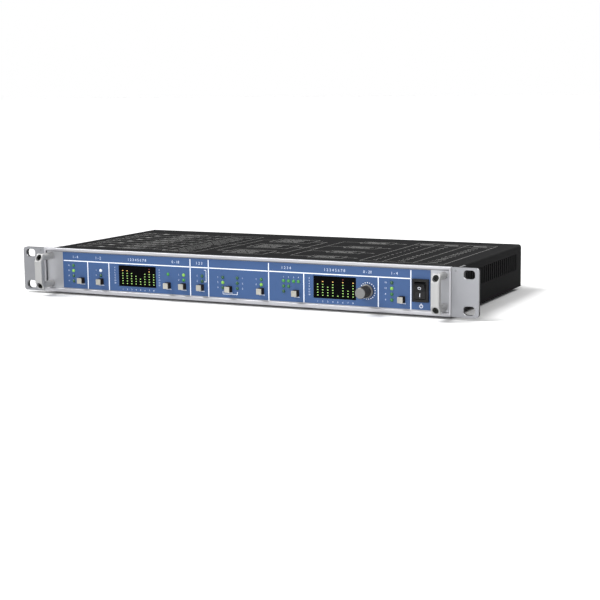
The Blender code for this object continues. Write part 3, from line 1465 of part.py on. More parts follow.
black_plastic = finish("black_plastic", (0.012, 0.012, 0.012), 0.4)
green_board = finish("green_board", (0.03, 0.12, 0.05), 0.5)
rubber = finish("rubber", (0.02, 0.02, 0.02), 0.8)

add_base_tray()
add_top_cover()
add_feet()
shared_holes = front_holes()
add_front_panel(shared_holes)
add_overlay(shared_holes)
add_meter_windows()
add_ears()
add_handles()
add_handle_screws()
add_front_buttons()
add_front_board()
add_encoder()
add_power_switch()
add_rocker()
add_rear_panel()
output_block, input_block = jack_blocks()
add_jack_strip("output_jacks", output_block, jack_places(OUTPUT_JACK_X, OUTPUT_JACK_END))
add_jack_strip("input_jacks", input_block, jack_places(INPUT_JACK_X, INPUT_JACK_END))
add_inlet()
add_round_sockets()
add_bnc_sockets()
add_optical_sockets()
add_dsub_sockets()
add_term_button()
add_slot_cover()
add_main_board()
add_digital_board()
add_power_supply()
add_ribbon_cable()
add_mains_wiring()
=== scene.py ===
"""Looks of the one-unit rack audio converter: its finishes, prints, lights and small fittings.

Places are in millimetres in the rack frame: x to the right seen from the front, y backwards from the front of
the rack ears, z up from the lower edge of the one-unit outline. The function at() turns them into the frame.
"""

import math

import bmesh
import bpy
from mathutils import Matrix, Vector


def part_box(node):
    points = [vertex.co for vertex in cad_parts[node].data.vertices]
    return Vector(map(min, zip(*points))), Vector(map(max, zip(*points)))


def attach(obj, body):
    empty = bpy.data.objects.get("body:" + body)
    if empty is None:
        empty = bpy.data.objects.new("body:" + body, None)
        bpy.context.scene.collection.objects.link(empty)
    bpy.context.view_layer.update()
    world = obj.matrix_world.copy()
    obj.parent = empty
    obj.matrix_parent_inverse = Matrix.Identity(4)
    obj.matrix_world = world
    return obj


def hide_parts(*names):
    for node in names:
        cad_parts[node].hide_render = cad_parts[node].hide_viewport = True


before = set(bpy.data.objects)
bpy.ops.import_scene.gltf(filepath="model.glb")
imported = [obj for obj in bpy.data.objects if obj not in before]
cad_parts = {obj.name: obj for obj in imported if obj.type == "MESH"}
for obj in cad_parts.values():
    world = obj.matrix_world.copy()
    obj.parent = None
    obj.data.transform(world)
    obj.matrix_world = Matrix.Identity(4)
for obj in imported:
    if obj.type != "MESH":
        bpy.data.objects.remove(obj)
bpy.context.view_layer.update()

# Scale and origin of the rack frame
MM = 0.001
PANEL_LIFT = 0.1
RACK_ORIGIN = Vector((0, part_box("ear_plate_left")[0].y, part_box("front_panel")[0].z - PANEL_LIFT * MM))


def to_rack(point):
    """A point of the frame, in metres, as millimetres in the rack frame."""
    return (Vector(point) - RACK_ORIGIN) / MM


def rack_box(node):
    """The lowest and highest corner of a node, in millimetres in the rack frame."""
    low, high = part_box(node)
    return to_rack(low), to_rack(high)


# Surfaces that carry prints and fittings
FASCIA = rack_box("fascia_overlay")[0].y
REAR = rack_box("rear_panel")[1].y
LID = rack_box("top_cover")[1].z
PLATE_FACE = rack_box("slot_cover")[1].y
INK = 0.03

# Front controls
BUTTON_COUNT = 9
LED_SIZE = 3.0
LED_TALL = {"left": -181.6, "right": 160.0}
LED_TALL_Z = (11.8, 17.0, 22.2, 27.4)
LED_TOP = 23.8
LED_STEP = 4.9
METER_ROW = 2.52
METER_FIRST_Z = 12.4
METER_COLUMN = 5.04
METER_LIT = {"left": (6, 6, 5, 4, 3, 5, 7, 5), "right": (5, 6, 4, 6, 1, 7, 3, 6)}
METER_FIRST_X = {"left": -123.7, "right": 87.0}
METER_ROWS = 7
KNOB_X = 136.5
KNOB_Z = 18.8
ROCKER_PIVOT = (188.0, 1.2, 22.1)
ROCKER_TILT = math.radians(10.5)
ROCKER_WAIST_OUT = -3.8
ROCKER_TIP_OUT = -5.5
ROCKER_TIP_RISE = 6.4

# Rear sockets
JACK_PITCH = 15.9
JACK_COUNT = 8
JACK_Z = 12.4
JACK_BODY_TOP = 19.6
OUTPUT_JACK_X = 44.4
INPUT_JACK_X = -90.5
MIDI_X = (145.6, 124.7)
MIDI_Z = 29.8
REMOTE = (96.0, 31.3)
BNC_X = (73.4, -75.9)
BNC_Z = 31.5
BNC_LUG_BACK = 4.2
OPTICAL_X = (55.1, 41.0, -30.9, -45.8)
OPTICAL_Z = 29.7
DSUB_PLACES = ((3.1, 31.0), (3.1, 12.8), (-55.8, 12.8))
DSUB_POST = 47.04
INLET = (178.5, 22.8)
TERMINATION = (-56.6, 29.6)

# Camera, fitted to the photograph
CAMERA_PLACE = (630.5, -1148.6, 199.5)
CAMERA_YAW = math.radians(-26.04)
CAMERA_PITCH = math.radians(-8.57)
CAMERA_ROLL = math.radians(-0.61)
CAMERA_LENS = 84.36
SENSOR = 36.0


def at(x, y, z):
    return RACK_ORIGIN + Vector((x, y, z)) * MM


class Wire:
    """A node's output that takes part in arithmetic: each operation adds one Math node."""

    def __init__(self, finish, socket):
        self.finish = finish
        self.socket = socket

    def math(self, operation, first, second):
        return self.finish.node("ShaderNodeMath", {"operation": operation}, {0: first, 1: second})

    def __add__(self, other):
        return self.math("ADD", self, other)

    __radd__ = __add__

    def __sub__(self, other):
        return self.math("SUBTRACT", self, other)

    def __rsub__(self, other):
        return self.math("SUBTRACT", other, self)

    def __mul__(self, other):
        return self.math("MULTIPLY", self, other)

    __rmul__ = __mul__


class Finish:
    """A procedural material on Object coordinates."""

    def __init__(self, name, **constants):
        self.material = bpy.data.materials.new(name)
        self.material.use_nodes = True
        self.tree = self.material.node_tree
        self.shader = self.tree.nodes["Principled BSDF"]
        for key, value in constants.items():
            self.set_input(key.replace("_", " "), value)

    def node(self, kind, settings=None, inputs=None, output=0):
        """Adds a node: its settings come first, then the values or links of its sockets."""
        made = self.tree.nodes.new(kind)
        for key, value in (settings or {}).items():
            if key == "stops":
                for stop, (place, shade) in zip(made.color_ramp.elements, value):
                    stop.position = place
                    stop.color = (*(shade,) * 3, 1)
            else:
                setattr(made, key, value)
        for key, value in (inputs or {}).items():
            self.join(made.inputs[key], value)
        return Wire(self, made.outputs[output])

    def join(self, socket, value):
        if isinstance(value, Wire):
            self.tree.links.new(value.socket, socket)
        elif isinstance(value, tuple) and len(value) == 3 and socket.type == "RGBA":
            socket.default_value = (*value, 1)
        else:
            socket.default_value = value

    def set_input(self, key, value):
        self.join(self.shader.inputs[key], value)
        return self

    def place(self):
        """Object coordinates in metres."""
        return self.node("ShaderNodeTexCoord", output="Object")

    def stretched(self, x, y, z):
        """Object coordinates, scaled along each axis."""
        return self.node("ShaderNodeMapping", inputs={"Vector": self.place(), "Scale": (x, y, z)})

    def noise(self, scale, detail=3.0, where=None):
        return self.node(
            "ShaderNodeTexNoise", inputs={"Vector": where or self.place(), "Scale": scale, "Detail": detail}
        )

    def ramp(self, value, low, high, first=0.0, second=1.0):
        """Value from low to high, as a shade from first to second."""
        return self.node("ShaderNodeValToRGB", {"stops": ((low, first), (high, second))}, {"Fac": value})

    def relief(self, height, distance, strength=1.0):
        inputs = {"Height": height, "Distance": distance, "Strength": strength}
        bump = self.node("ShaderNodeBump", inputs=inputs)
        return self.set_input("Normal", bump)


def mix_inputs(finish, factor, first, second):
    """A colour between two colours; Mix keeps its colour sockets behind others of the same name."""
    node = finish.tree.nodes.new("ShaderNodeMix")
    node.data_type = "RGBA"
    finish.join(node.inputs[0], factor)
    finish.join(node.inputs[6], first)
    finish.join(node.inputs[7], second)
    return Wire(finish, node.outputs[2])


def grained(name, colour, roughness, grain, depth, metallic=0.0, vary=0.12, **constants):
    """A finish with a fine grain, slightly cloudy in shade and gloss."""
    made = Finish(name, Metallic=metallic, **constants)
    cloud = made.noise(30.0, 4.0)
    dark = tuple(c * (1 - vary) for c in colour)
    light = tuple(min(1.0, c * (1 + vary)) for c in colour)
    made.set_input("Base Color", mix_inputs(made, made.ramp(cloud, 0.3, 0.7), dark, light))
    fine = made.noise(grain, 2.0)
    made.set_input("Roughness", roughness + 0.10 * (fine - 0.5) + 0.08 * (cloud - 0.5))
    return made.relief(fine, depth)


def paint(name, colour, roughness, depth=0.00004, **constants):
    return grained(name, colour, roughness, 1400.0, depth, **constants)


def moulded(name, colour, roughness=0.42, **constants):
    """Plastic from a spark-eroded mould."""
    return grained(name, colour, roughness, 2600.0, 0.00002, vary=0.06, **constants)


def drawn_metal(name, colour, roughness, along, metallic=1.0):
    """Metal with fine lines along one axis."""
    made = Finish(name, Metallic=metallic)
    scale = [900.0, 900.0, 900.0]
    scale["XYZ".index(along)] = 12.0
    lines = made.noise(1.0, 3.0, made.stretched(*scale))
    cloud = made.noise(24.0, 3.0)
    dark = tuple(c * 0.90 for c in colour)
    made.set_input("Base Color", mix_inputs(made, made.ramp(lines, 0.3, 0.7), dark, colour))
    made.set_input("Roughness", roughness + 0.12 * (lines - 0.5) + 0.10 * (cloud - 0.5))
    return made.relief(lines, 0.00001)


def lamp(name, colour, strength):
    """A lit light: its glow is a little brighter in the middle of the grain."""
    made = Finish(name, Roughness=0.25, Emission_Strength=strength)
    spark = made.ramp(made.noise(900.0, 2.0), 0.2, 0.8, 0.75, 1.0)
    shade = mix_inputs(made, spark, tuple(c * 0.6 for c in colour), colour)
    made.set_input("Base Color", shade)
    return made.set_input("Emission Color", shade)


class Solid:
    """A mesh in the making, in millimetres in the rack frame."""

    def __init__(self):
        self.bm = bmesh.new()

    def box(self, low, high, edge=0.0, segments=2):
        low = Vector(low)
        high = Vector(high)
        shape = Matrix.Translation((low + high) / 2) @ Matrix.Diagonal((*(high - low), 1))
        made = bmesh.ops.create_cube(self.bm, size=1, matrix=shape)["verts"]
        if edge:
            self.bevel(made, edge, segments)
        return self

    def bevel(self, verts, edge, segments):
        edges = {e for v in verts for e in v.link_edges}
        bmesh.ops.bevel(
            self.bm,
            geom=list(edges),
            offset=edge,
            offset_type="OFFSET",
            affect="EDGES",
            segments=segments,
            profile=0.5,
            material=-1,
        )

    def rod(self, start, end, diameter, sides=24, end_diameter=None, depth=1.0):
        """A rod or cone between two points; its depth along y is a share of its diameter."""
        start = Vector(start)
        end = Vector(end)
        turn = (end - start).to_track_quat("Z", "Y").to_matrix().to_4x4()
        flatten = Matrix.Diagonal((1, depth, 1, 1))
        bmesh.ops.create_cone(
            self.bm,
            cap_ends=True,
            segments=sides,
            radius1=diameter / 2,
            radius2=(diameter if end_diameter is None else end_diameter) / 2,
            depth=(end - start).length,
            matrix=Matrix.Translation((start + end) / 2) @ flatten @ turn,
        )
        return self

    def bead(self, start, end, width, out):
        """A bar with a half-round front, sunk to its middle in the surface behind it."""
        return self.rod(start, end, width, 32, depth=2 * out / width)

    def turned(self, profile, base, along, steps=32):
        """Spins a profile of (radius, height) points about an axis through base."""
        along = Vector(along).normalized()
        turn = along.to_track_quat("Z", "Y").to_matrix().to_4x4()
        shape = Matrix.Translation(base) @ turn
        verts = [self.bm.verts.new(shape @ Vector((radius, 0, height))) for radius, height in profile]
        edges = [self.bm.edges.new(pair) for pair in zip(verts, verts[1:])]
        bmesh.ops.spin(
            self.bm,
            geom=verts + edges,
            cent=base,
            axis=along,
            angle=2 * math.pi,
            steps=steps,
            use_merge=True,
        )
        bmesh.ops.remove_doubles(self.bm, verts=self.bm.verts, dist=1e-4)
        return self

    def slab(self, outline, low, high):
        """An outline of (x, z) points, pulled from y = low to y = high."""
        return self.pulled([(x, low, z) for x, z in outline], (0, high - low, 0))

    def pulled(self, points, shift):
        """A flat face through the points, pulled along a shift."""
        face = self.bm.faces.new([self.bm.verts.new(point) for point in points])
        grown = bmesh.ops.extrude_face_region(self.bm, geom=[face])["geom"]
        top = [v for v in grown if isinstance(v, bmesh.types.BMVert)]
        bmesh.ops.translate(self.bm, verts=top, vec=shift)
        return self

    def pierced(self, outline, holes, low, high):
        """An outline with holes, all of (x, z) points, pulled from y = low to y = high."""
        curve = bpy.data.curves.new("sheet", "CURVE")
        curve.dimensions = "2D"
        curve.fill_mode = "BOTH"
        curve.extrude = (high - low) / 2
        for loop in (outline, *holes):
            spline = curve.splines.new("POLY")
            spline.points.add(len(loop) - 1)
            for point, (x, z) in zip(spline.points, loop):
                point.co = (x, z, 0, 1)
            spline.use_cyclic_u = True
        upright = Matrix.Rotation(math.pi / 2, 4, "X")
        return self.take(curve, Matrix.Translation((0, (low + high) / 2, 0)) @ upright)

    def take(self, curve, matrix):
        """Adds a text or a flat curve as mesh."""
        holder = bpy.data.objects.new("flat", curve)
        bpy.context.scene.collection.objects.link(holder)
        graph = bpy.context.evaluated_depsgraph_get()
        mesh = bpy.data.meshes.new_from_object(holder.evaluated_get(graph))
        mesh.transform(matrix)
        self.bm.from_mesh(mesh)
        bpy.data.objects.remove(holder)
        bpy.data.curves.remove(curve)
        bpy.data.meshes.remove(mesh)
        return self

    def moved(self, matrix):
        bmesh.ops.transform(self.bm, matrix=matrix, verts=self.bm.verts)
        return self

    def piece(self, name, finish, body="case", slot=None, replaces=(), smooth=35.0):
        """Places the mesh in the frame as a finished piece that rides on a body."""
        bmesh.ops.recalc_face_normals(self.bm, faces=self.bm.faces)
        bmesh.ops.transform(
            self.bm, matrix=Matrix.Translation(RACK_ORIGIN) @ Matrix.Scale(MM, 4), verts=self.bm.verts
        )
        mesh = bpy.data.meshes.new(name)
        self.bm.to_mesh(mesh)
        self.bm.free()
        mesh.materials.append(finish.material)
        mesh.shade_smooth()
        mesh.set_sharp_from_angle(angle=math.radians(smooth))
        made = bpy.data.objects.new(name, mesh)
        bpy.context.scene.collection.objects.link(made)
        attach(made, body)
        if replaces:
            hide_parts(*replaces)
        return made


class Print(Solid):
    """Ink on a surface, drawn with u to the right, v up and the ink standing out of the surface."""

    def __init__(self, u_axis, v_axis, origin, height=INK):
        super().__init__()
        u_axis = Vector(u_axis)
        v_axis = Vector(v_axis)
        out = u_axis.cross(v_axis)
        self.surface = Matrix.Translation(origin) @ Matrix((u_axis, v_axis, out)).transposed().to_4x4()
        self.height = height

    def bar(self, u0, v0, u1, v1):
        return self.box((u0, v0, -self.height), (u1, v1, self.height))

    def across(self, u0, u1, v, width):
        return self.bar(u0, v - width / 2, u1, v + width / 2)

    def upright(self, u, v0, v1, width):
        return self.bar(u - width / 2, v0, u + width / 2, v1)

    def outline(self, u0, v0, u1, v1, width):
        half = width / 2
        self.across(u0 - half, u1 + half, v0, width)
        self.across(u0 - half, u1 + half, v1, width)
        self.upright(u0, v0 + half, v1 - half, width)
        return self.upright(u1, v0 + half, v1 - half, width)

    def dot(self, u, v, diameter, sides=12):
        return self.rod((u, v, -self.height), (u, v, self.height), diameter, sides)

    def ring(self, u, v, diameter, width, steps=20):
        inner = diameter / 2 - width
        outer = diameter / 2
        profile = [
            (inner, self.height),
            (outer, self.height),
            (outer, -self.height),
            (inner, -self.height),
            (inner, self.height),
        ]
        return self.turned(profile, (u, v, 0), (0, 0, 1), steps)

    def arrow(self, u, v, size, heading=0):
        """A filled triangle that points along heading, in degrees."""
        turn = math.radians(heading)
        corners = []
        for spread in (0, 140, 220):
            angle = turn + math.radians(spread)
            corners.append((u + size * 0.6 * math.cos(angle), v + size * 0.6 * math.sin(angle)))
        return self.pulled([(a, b, -self.height) for a, b in corners], (0, 0, 2 * self.height))

    def number(self, text, u, v, size, pitch=None):
        """Figures, centred at (u, v), on lines that lie a pitch apart."""
        curve = bpy.data.curves.new("figures", "FONT")
        curve.body = text
        curve.size = size
        curve.space_line = pitch / size if pitch else 1.0
        curve.align_x = "CENTER"
        curve.align_y = "CENTER"
        curve.extrude = self.height
        curve.resolution_u = 2
        return self.take(curve, Matrix.Translation((u, v, 0)))

    def piece(self, name, finish, body="case", slot=None):
        self.moved(self.surface)
        return super().piece(name, finish, body, slot, smooth=20.0)


def front_print():
    return Print((1, 0, 0), (0, 0, 1), (0, FASCIA, 0))


def rear_print():
    return Print((-1, 0, 0), (0, 0, 1), (0, REAR + SKIN, 0))


def lid_print():
    return Print((1, 0, 0), (0, 1, 0), (0, 0, LID))


def shade(red, green, blue):
    """A colour on the 0 to 255 scale of pictures, as the linear values that shaders take."""
    return tuple(((c / 255 + 0.055) / 1.055) ** 2.4 for c in (red, green, blue))


# Finishes of the case
case_black = paint("case_black", shade(19, 19, 20), 0.60, Specular_IOR_Level=0.015)
rear_grey = paint("rear_grey", shade(72, 72, 74), 0.50, Specular_IOR_Level=0.20)
bracket_black = paint("bracket_black", shade(36, 36, 38), 0.55, Specular_IOR_Level=0.05)
silver_coat = grained("silver_coat", shade(142, 143, 147), 0.42, 2400.0, 0.00001, metallic=0.75, vary=0.04)
panel_silver = grained("panel_silver", shade(170, 171, 175), 0.42, 2400.0, 0.00001, metallic=0.70, vary=0.04)
# A lighter, less metallic copy of the panel's silver for the rim bead, which paints part of the highlight on
# its rounding
rim_highlight_silver = grained("rim_highlight_silver", shade(176, 176, 180), 0.38, 2400.0, 0.000006, metallic=0.55, vary=0.03)
handle_metal = drawn_metal("handle_metal", shade(166, 166, 166), 0.48, "Z", 0.30)
fascia_blue = grained(
    "fascia_blue", shade(54, 81, 124), 0.42, 3200.0, 0.000005, vary=0.04, Specular_IOR_Level=0.3
)
foot_rubber = grained("foot_rubber", shade(30, 30, 30), 0.78, 900.0, 0.00005)

# Finishes of the controls and sockets
white_ink = grained("white_ink", shade(232, 236, 244), 0.50, 4000.0, 0.000003, vary=0.03)
figure_ink = grained("figure_ink", shade(196, 206, 226), 0.50, 4000.0, 0.000003, vary=0.05)
lid_ink = grained("lid_ink", shade(150, 150, 148), 0.55, 4000.0, 0.000003, vary=0.10)
smoked_pane = grained(
    "smoked_pane", shade(4, 4, 6), 0.14, 300.0, 0.000001, vary=0.20, Specular_IOR_Level=0.02
)
button_grey = paint("button_grey", shade(160, 158, 150), 0.50, 0.00008, vary=0.16, Specular_IOR_Level=0.3)
button_brown = moulded("button_brown", shade(38, 33, 31), 0.50, Specular_IOR_Level=0.1)
knob_grey = moulded("knob_grey", shade(70, 66, 61), 0.52, Specular_IOR_Level=0.2)
knob_cap_metal = drawn_metal("knob_cap_metal", shade(122, 122, 122), 0.44, "X", 0.6)
black_moulding = moulded("black_moulding", shade(15, 15, 16), 0.40, Specular_IOR_Level=0.25)
# Dark grey that paints the shadow line along the front panel's rim, over a narrow gap
shadow_gap_grey = moulded("shadow_gap_grey", shade(62, 62, 66), 0.70)
# Near-black that paints the shade inside holes, pits, slits and screw recesses
hole_shade_black = moulded("hole_shade_black", shade(9, 9, 10), 0.70)
nickel = drawn_metal("nickel", shade(208, 206, 200), 0.24, "Y")
contact_gold = drawn_metal("contact_gold", shade(196, 168, 92), 0.32, "Y")
insert_brown = moulded("insert_brown", shade(112, 102, 62), 0.50, Specular_IOR_Level=0.2)
remote_olive = moulded("remote_olive", shade(52, 50, 40), 0.45)
flap_grey = moulded("flap_grey", shade(44, 44, 46), 0.48, Specular_IOR_Level=0.2)
button_olive = moulded("button_olive", shade(150, 138, 70), 0.45)
ivory_insulator = moulded("ivory_insulator", shade(222, 218, 204), 0.40)
screw_black = drawn_metal("screw_black", shade(44, 45, 43), 0.38, "Z")
rivet_grey = drawn_metal("rivet_grey", shade(128, 129, 132), 0.42, "Z", 0.6)
# A pale grey for the brackets' bare cut edges, lightened to paint the highlight along them
lit_cut_edge = drawn_metal("lit_cut_edge", shade(150, 150, 152), 0.45, "Y", 0.5)
screw_bright = drawn_metal("screw_bright", shade(186, 186, 188), 0.30, "X")

# Finishes inside the case
board_green = grained("board_green", shade(34, 92, 58), 0.34, 700.0, 0.00002, vary=0.22)
ribbon_grey = drawn_metal("ribbon_grey", shade(150, 152, 156), 0.50, "Y", 0.0)
wire_sleeve = moulded("wire_sleeve", shade(46, 46, 48), 0.55)
steel_shaft = drawn_metal("steel_shaft", shade(176, 176, 178), 0.28, "Y")

# Lights on the front
LIGHTS = {
    "lime": lamp("light_lime", (0.17, 0.38, 0.06), 0.4),
    "green": lamp("light_green", (0.04, 0.20, 0.045), 0.4),
    "half": lamp("light_half", (0.023, 0.12, 0.034), 0.3),
    "white": lamp("light_white", (0.52, 0.56, 0.62), 0.6),
    "dim": grained("light_dim", shade(36, 80, 54), 0.28, 800.0, 0.000004),
}
SEGMENTS = {
    "low": lamp("segment_green", (0.33, 0.58, 0.15), 0.5),
    "high": lamp("segment_amber", (0.72, 0.44, 0.12), 0.6),
    "over": lamp("segment_red", (0.16, 0.018, 0.012), 0.5),
    "off": grained("segment_off", shade(9, 10, 9), 0.30, 800.0, 0.000002, Specular_IOR_Level=0.02),
}


def dress(finish, *nodes):
    """Gives nodes of the frame a finish."""
    for name in nodes:
        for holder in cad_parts[name].material_slots:
            holder.link = "OBJECT"
            holder.material = finish.material


def dress_case():
    dress(case_black, "top_cover", "base_tray")
    dress(rear_grey, "rear_panel", "slot_cover")
    dress(panel_silver, "front_panel")
    dress(silver_coat, "ear_plate_left", "ear_plate_right")
    dress(bracket_black, "ear_bracket_left", "ear_bracket_right")
    dress(handle_metal, "handle_left", "handle_right")
    dress(fascia_blue, "fascia_overlay")
    for side in ("left", "right"):
        dress(smoked_pane, f"meter_window_{side}")
        dress(foot_rubber, f"foot_front_{side}", f"foot_rear_{side}")
        dress(screw_black, f"handle_screw_{side}_lower", f"handle_screw_{side}_upper")


def dress_controls():
    dress(black_moulding, "power_switch_housing", "power_rocker", "encoder_body")
    dress(steel_shaft, "encoder_rotor", "encoder_shaft")
    dress(board_green, "front_board", "main_board", "digital_board", "power_supply")
    dress(ribbon_grey, "ribbon_cable")
    dress(wire_sleeve, "mains_wiring")


def dress_sockets():
    dress(black_moulding, "mains_inlet", "midi_sockets", "optical_outputs", "optical_inputs")
    dress(button_olive, "termination_button")
    dress(remote_olive, "remote_socket")
    dress(nickel, "bnc_output", "bnc_input", "dsub_upper", "dsub_lower", "dsub_input")
    for number in range(1, len(OPTICAL_X) + 1):
        dress(flap_grey, f"optical_shutter_{number}")


# Front pieces

BUTTON_EDGE = 0.35
BUTTON_DISH = 0.15
BUTTON_FACE = 0.9


def add_button(number):
    """A dark push button with a pale face, soft at its edges and slightly dished."""
    name = f"front_button_{number}"
    low, high = rack_box(name)
    stem = Solid().box((low.x, low.y + BUTTON_FACE - 0.2, low.z), high, edge=0.3)
    stem.piece(f"button_stem_{number}", button_brown, name, "dark_plastic", (name,))
    cap = Solid().box(low, (high.x, low.y + BUTTON_FACE, high.z), edge=BUTTON_EDGE, segments=3)
    face = min(cap.bm.faces, key=lambda f: f.calc_center_median().y)
    bmesh.ops.inset_region(cap.bm, faces=[face], thickness=0.45, depth=-BUTTON_DISH, use_even_offset=True)
    cap.piece(f"button_face_{number}", button_grey, name, "pale_plastic")


KNOB_STEPS = 64
KNOB_RIBS = 36
KNOB_CORE = 9.9
KNOB_RING = (1.3, 2.3)


def add_knob():
    """A ribbed knob with a skirt, a bright ring on the skirt and a bright cap."""
    low, high = rack_box("encoder_knob")
    length = high.y - low.y
    skirt = (high.x - low.x) / 2
    base = (KNOB_X, high.y, KNOB_Z)
    core = KNOB_CORE / 2
    inner, outer = KNOB_RING
    body = Solid()
    top = length - 0.5
    profile = [(0, 0), (skirt, 0), (skirt, 0.8), (skirt - 0.4, 1.3), (core, 1.7), (core, top), (0, top)]
    body.turned(profile, base, (0, -1, 0), KNOB_STEPS)
    for index in range(KNOB_RIBS):
        angle = 2 * math.pi * index / KNOB_RIBS
        x = KNOB_X + core * math.cos(angle)
        z = KNOB_Z + core * math.sin(angle)
        body.rod((x, high.y - 1.6, z), (x, low.y + 0.7, z), 0.62, 8, 0.5)
    body.piece("knob_body", knob_grey, "knob", "dark_plastic", ("encoder_knob",))
    ring = Solid()
    edge = skirt - 0.1
    profile = [(core, inner), (edge, inner), (edge, outer - 0.4)]
    profile += [(edge - 0.4, outer), (core, outer), (core, inner)]
    ring.turned(profile, base, (0, -1, 0), KNOB_STEPS)
    ring.piece("knob_ring", knob_cap_metal, "knob", "silver_metal")
    cap = Solid()
    rim = core - 0.15
    profile = [(0, length - 0.7), (rim, length - 0.7), (rim, length - 0.3), (rim - 0.35, length), (0, length)]
    cap.turned(profile, base, (0, -1, 0), KNOB_STEPS)
    cap.piece("knob_cap", knob_cap_metal, "knob", "silver_metal")


LED_STATES = {
    -149.3: ("white", "dim"),
    -72.1: ("green",),
    -54.7: ("lime", "green"),
    -34.4: ("dim", "dim"),
    -11.9: ("dim", "lime", "dim"),
    3.5: ("dim", "dim", "dim"),
    29.0: ("half", "lime"),
    52.2: ("green", "half", "dim"),
    57.4: ("green", "half"),
    62.6: ("green",),
    67.5: ("green",),
}
LED_TALL_STATES = {"left": ("dim", "dim", "lime", "half"), "right": ("half", "half", "lime", "dim")}


def status_lights():
    """Each light's x, z and state."""
    places = []
    for x, states in LED_STATES.items():
        for row, state in enumerate(states):
            places.append((x, LED_TOP - row * LED_STEP, state))
    for side, states in LED_TALL_STATES.items():
        for z, state in zip(LED_TALL_Z, states):
            places.append((LED_TALL[side], z, state))
    return places


def add_status_lights():
    radius = LED_SIZE / 2 + 0.1
    dome = [(0, 1.2), (0.55, 1.12), (1.05, 0.86), (1.4, 0.45), (radius, 0.1), (radius, -0.2), (0, -0.2)]
    for state, finish in LIGHTS.items():
        lights = Solid()
        for x, z, shown in status_lights():
            if shown == state:
                lights.turned(dome, (x, FASCIA, z), (0, -1, 0), 20)
        lights.piece(f"status_lights_{state}", finish, slot="pale_plastic")


def segment_state(row, lit):
    if row >= lit:
        return "off"
    if row == METER_ROWS - 1:
        return "over"
    return "high" if row == METER_ROWS - 2 else "low"


SEGMENT = (1.25, 0.66)


def add_meters():
    """Light columns, level with the panes that cover them."""
    for state, finish in SEGMENTS.items():
        columns = Solid()
        for side, first in METER_FIRST_X.items():
            face = rack_box(f"meter_window_{side}")[0].y
            for column, lit in enumerate(METER_LIT[side]):
                x = first + column * METER_COLUMN
                for row in range(METER_ROWS):
                    z = METER_FIRST_Z + row * METER_ROW
                    if segment_state(row, lit) == state:
                        low = (x - SEGMENT[0] / 2, face - INK, z - SEGMENT[1] / 2)
                        high = (x + SEGMENT[0] / 2, face + 0.2, z + SEGMENT[1] / 2)
                        columns.box(low, high)
        columns.piece(f"meter_segments_{state}", finish, slot="dark_lens")


BRACKET_SHEET = 2.0
FLANGE_STEP = 2.0
LINE = 0.9
FINE_LINE = 0.4
SHORT_RULES = (-164.5, -139.6, 73.0, 147.0)
LONG_RULES = (-47.3, -27.35, 36.8, 178.2)
FIGURE = 3.6
TITLE_Z = 35.9
LIGHT_FIGURE = 2.2
SMALL_FIGURE = 2.0
TITLES = {
    -179.0: "1 - 4",
    -152.0: "1 - 2",
    -107.0: "1 2 3 4 5 6 7 8",
    -63.5: "0 - 18",
    -37.3: "1 2 3",
    55.0: "1 2 3 4",
    104.0: "1 2 3 4 5 6 7 8",
    136.5: "0 - 20",
    162.5: "1 - 4",
}


def add_fascia_lines():
    """Rules between the groups of controls, brackets beside lights and a stroke under each button."""
    rules = front_print()
    rules.across(-193.0, 178.2, 32.0, LINE)
    for u in SHORT_RULES:
        rules.upright(u, 4.7, 31.6, LINE)
    for u in LONG_RULES:
        rules.upright(u, 4.2, 39.6, LINE)
    rules.upright(-30.0, 18.5, 29.5, FINE_LINE)
    rules.across(-32.0, -30.0, 18.5, FINE_LINE).across(-32.0, -30.0, 29.5, FINE_LINE)
    rules.across(-11.9, 3.5, 8.0, FINE_LINE)
    rules.upright(-11.9, 8.0, 10.6, FINE_LINE).upright(3.5, 8.0, 10.6, FINE_LINE)
    for number in range(1, BUTTON_COUNT + 1):
        low, high = rack_box(f"front_button_{number}")
        rules.across(low.x + 0.4, high.x + 0.8, low.z - 0.9, FINE_LINE)
    rules.piece("fascia_lines", white_ink, slot="blue_print")


def add_fascia_figures():
    figures = front_print()
    for u, title in TITLES.items():
        figures.number(title, u, TITLE_Z, FIGURE)
    for u in (-132.6, -82.0, 78.5):
        for row in range(METER_ROWS):
            mark = 3 * (METER_ROWS - 1 - row)
            figures.number(str(mark), u, METER_FIRST_Z + row * METER_ROW, SMALL_FIGURE)
    for side, first in METER_FIRST_X.items():
        for column in range(len(METER_LIT[side])):
            figures.number(str(column + 1), first + column * METER_COLUMN, 6.7, LIGHT_FIGURE)
    for index, u in enumerate((52.2, 57.4, 62.6, 67.5), 1):
        figures.number(str(index), u, 27.4, SMALL_FIGURE)
    for side, shift in (("left", -5.6), ("right", -6.0)):
        for row, z in enumerate(LED_TALL_Z):
            figures.number(str(4 * row + 4), LED_TALL[side] + shift, z, LIGHT_FIGURE)
    for u, states in LED_STATES.items():
        if -73.0 < u < -60.0 or u > 50.0:
            continue
        for row in range(len(states)):
            shift = 5.6 if u == 3.5 else -5.4
            figures.number(str(row + 1), u + shift, LED_TOP - row * LED_STEP, LIGHT_FIGURE)
    figures.piece("fascia_figures", figure_ink, slot="blue_print")


RIM_TOP = 2.9
RIM_BASE = 3.7
RIM_SIDE = 2.0
RIM_OUT = 0.7
RIM_SHADOW_GAP = 0.4


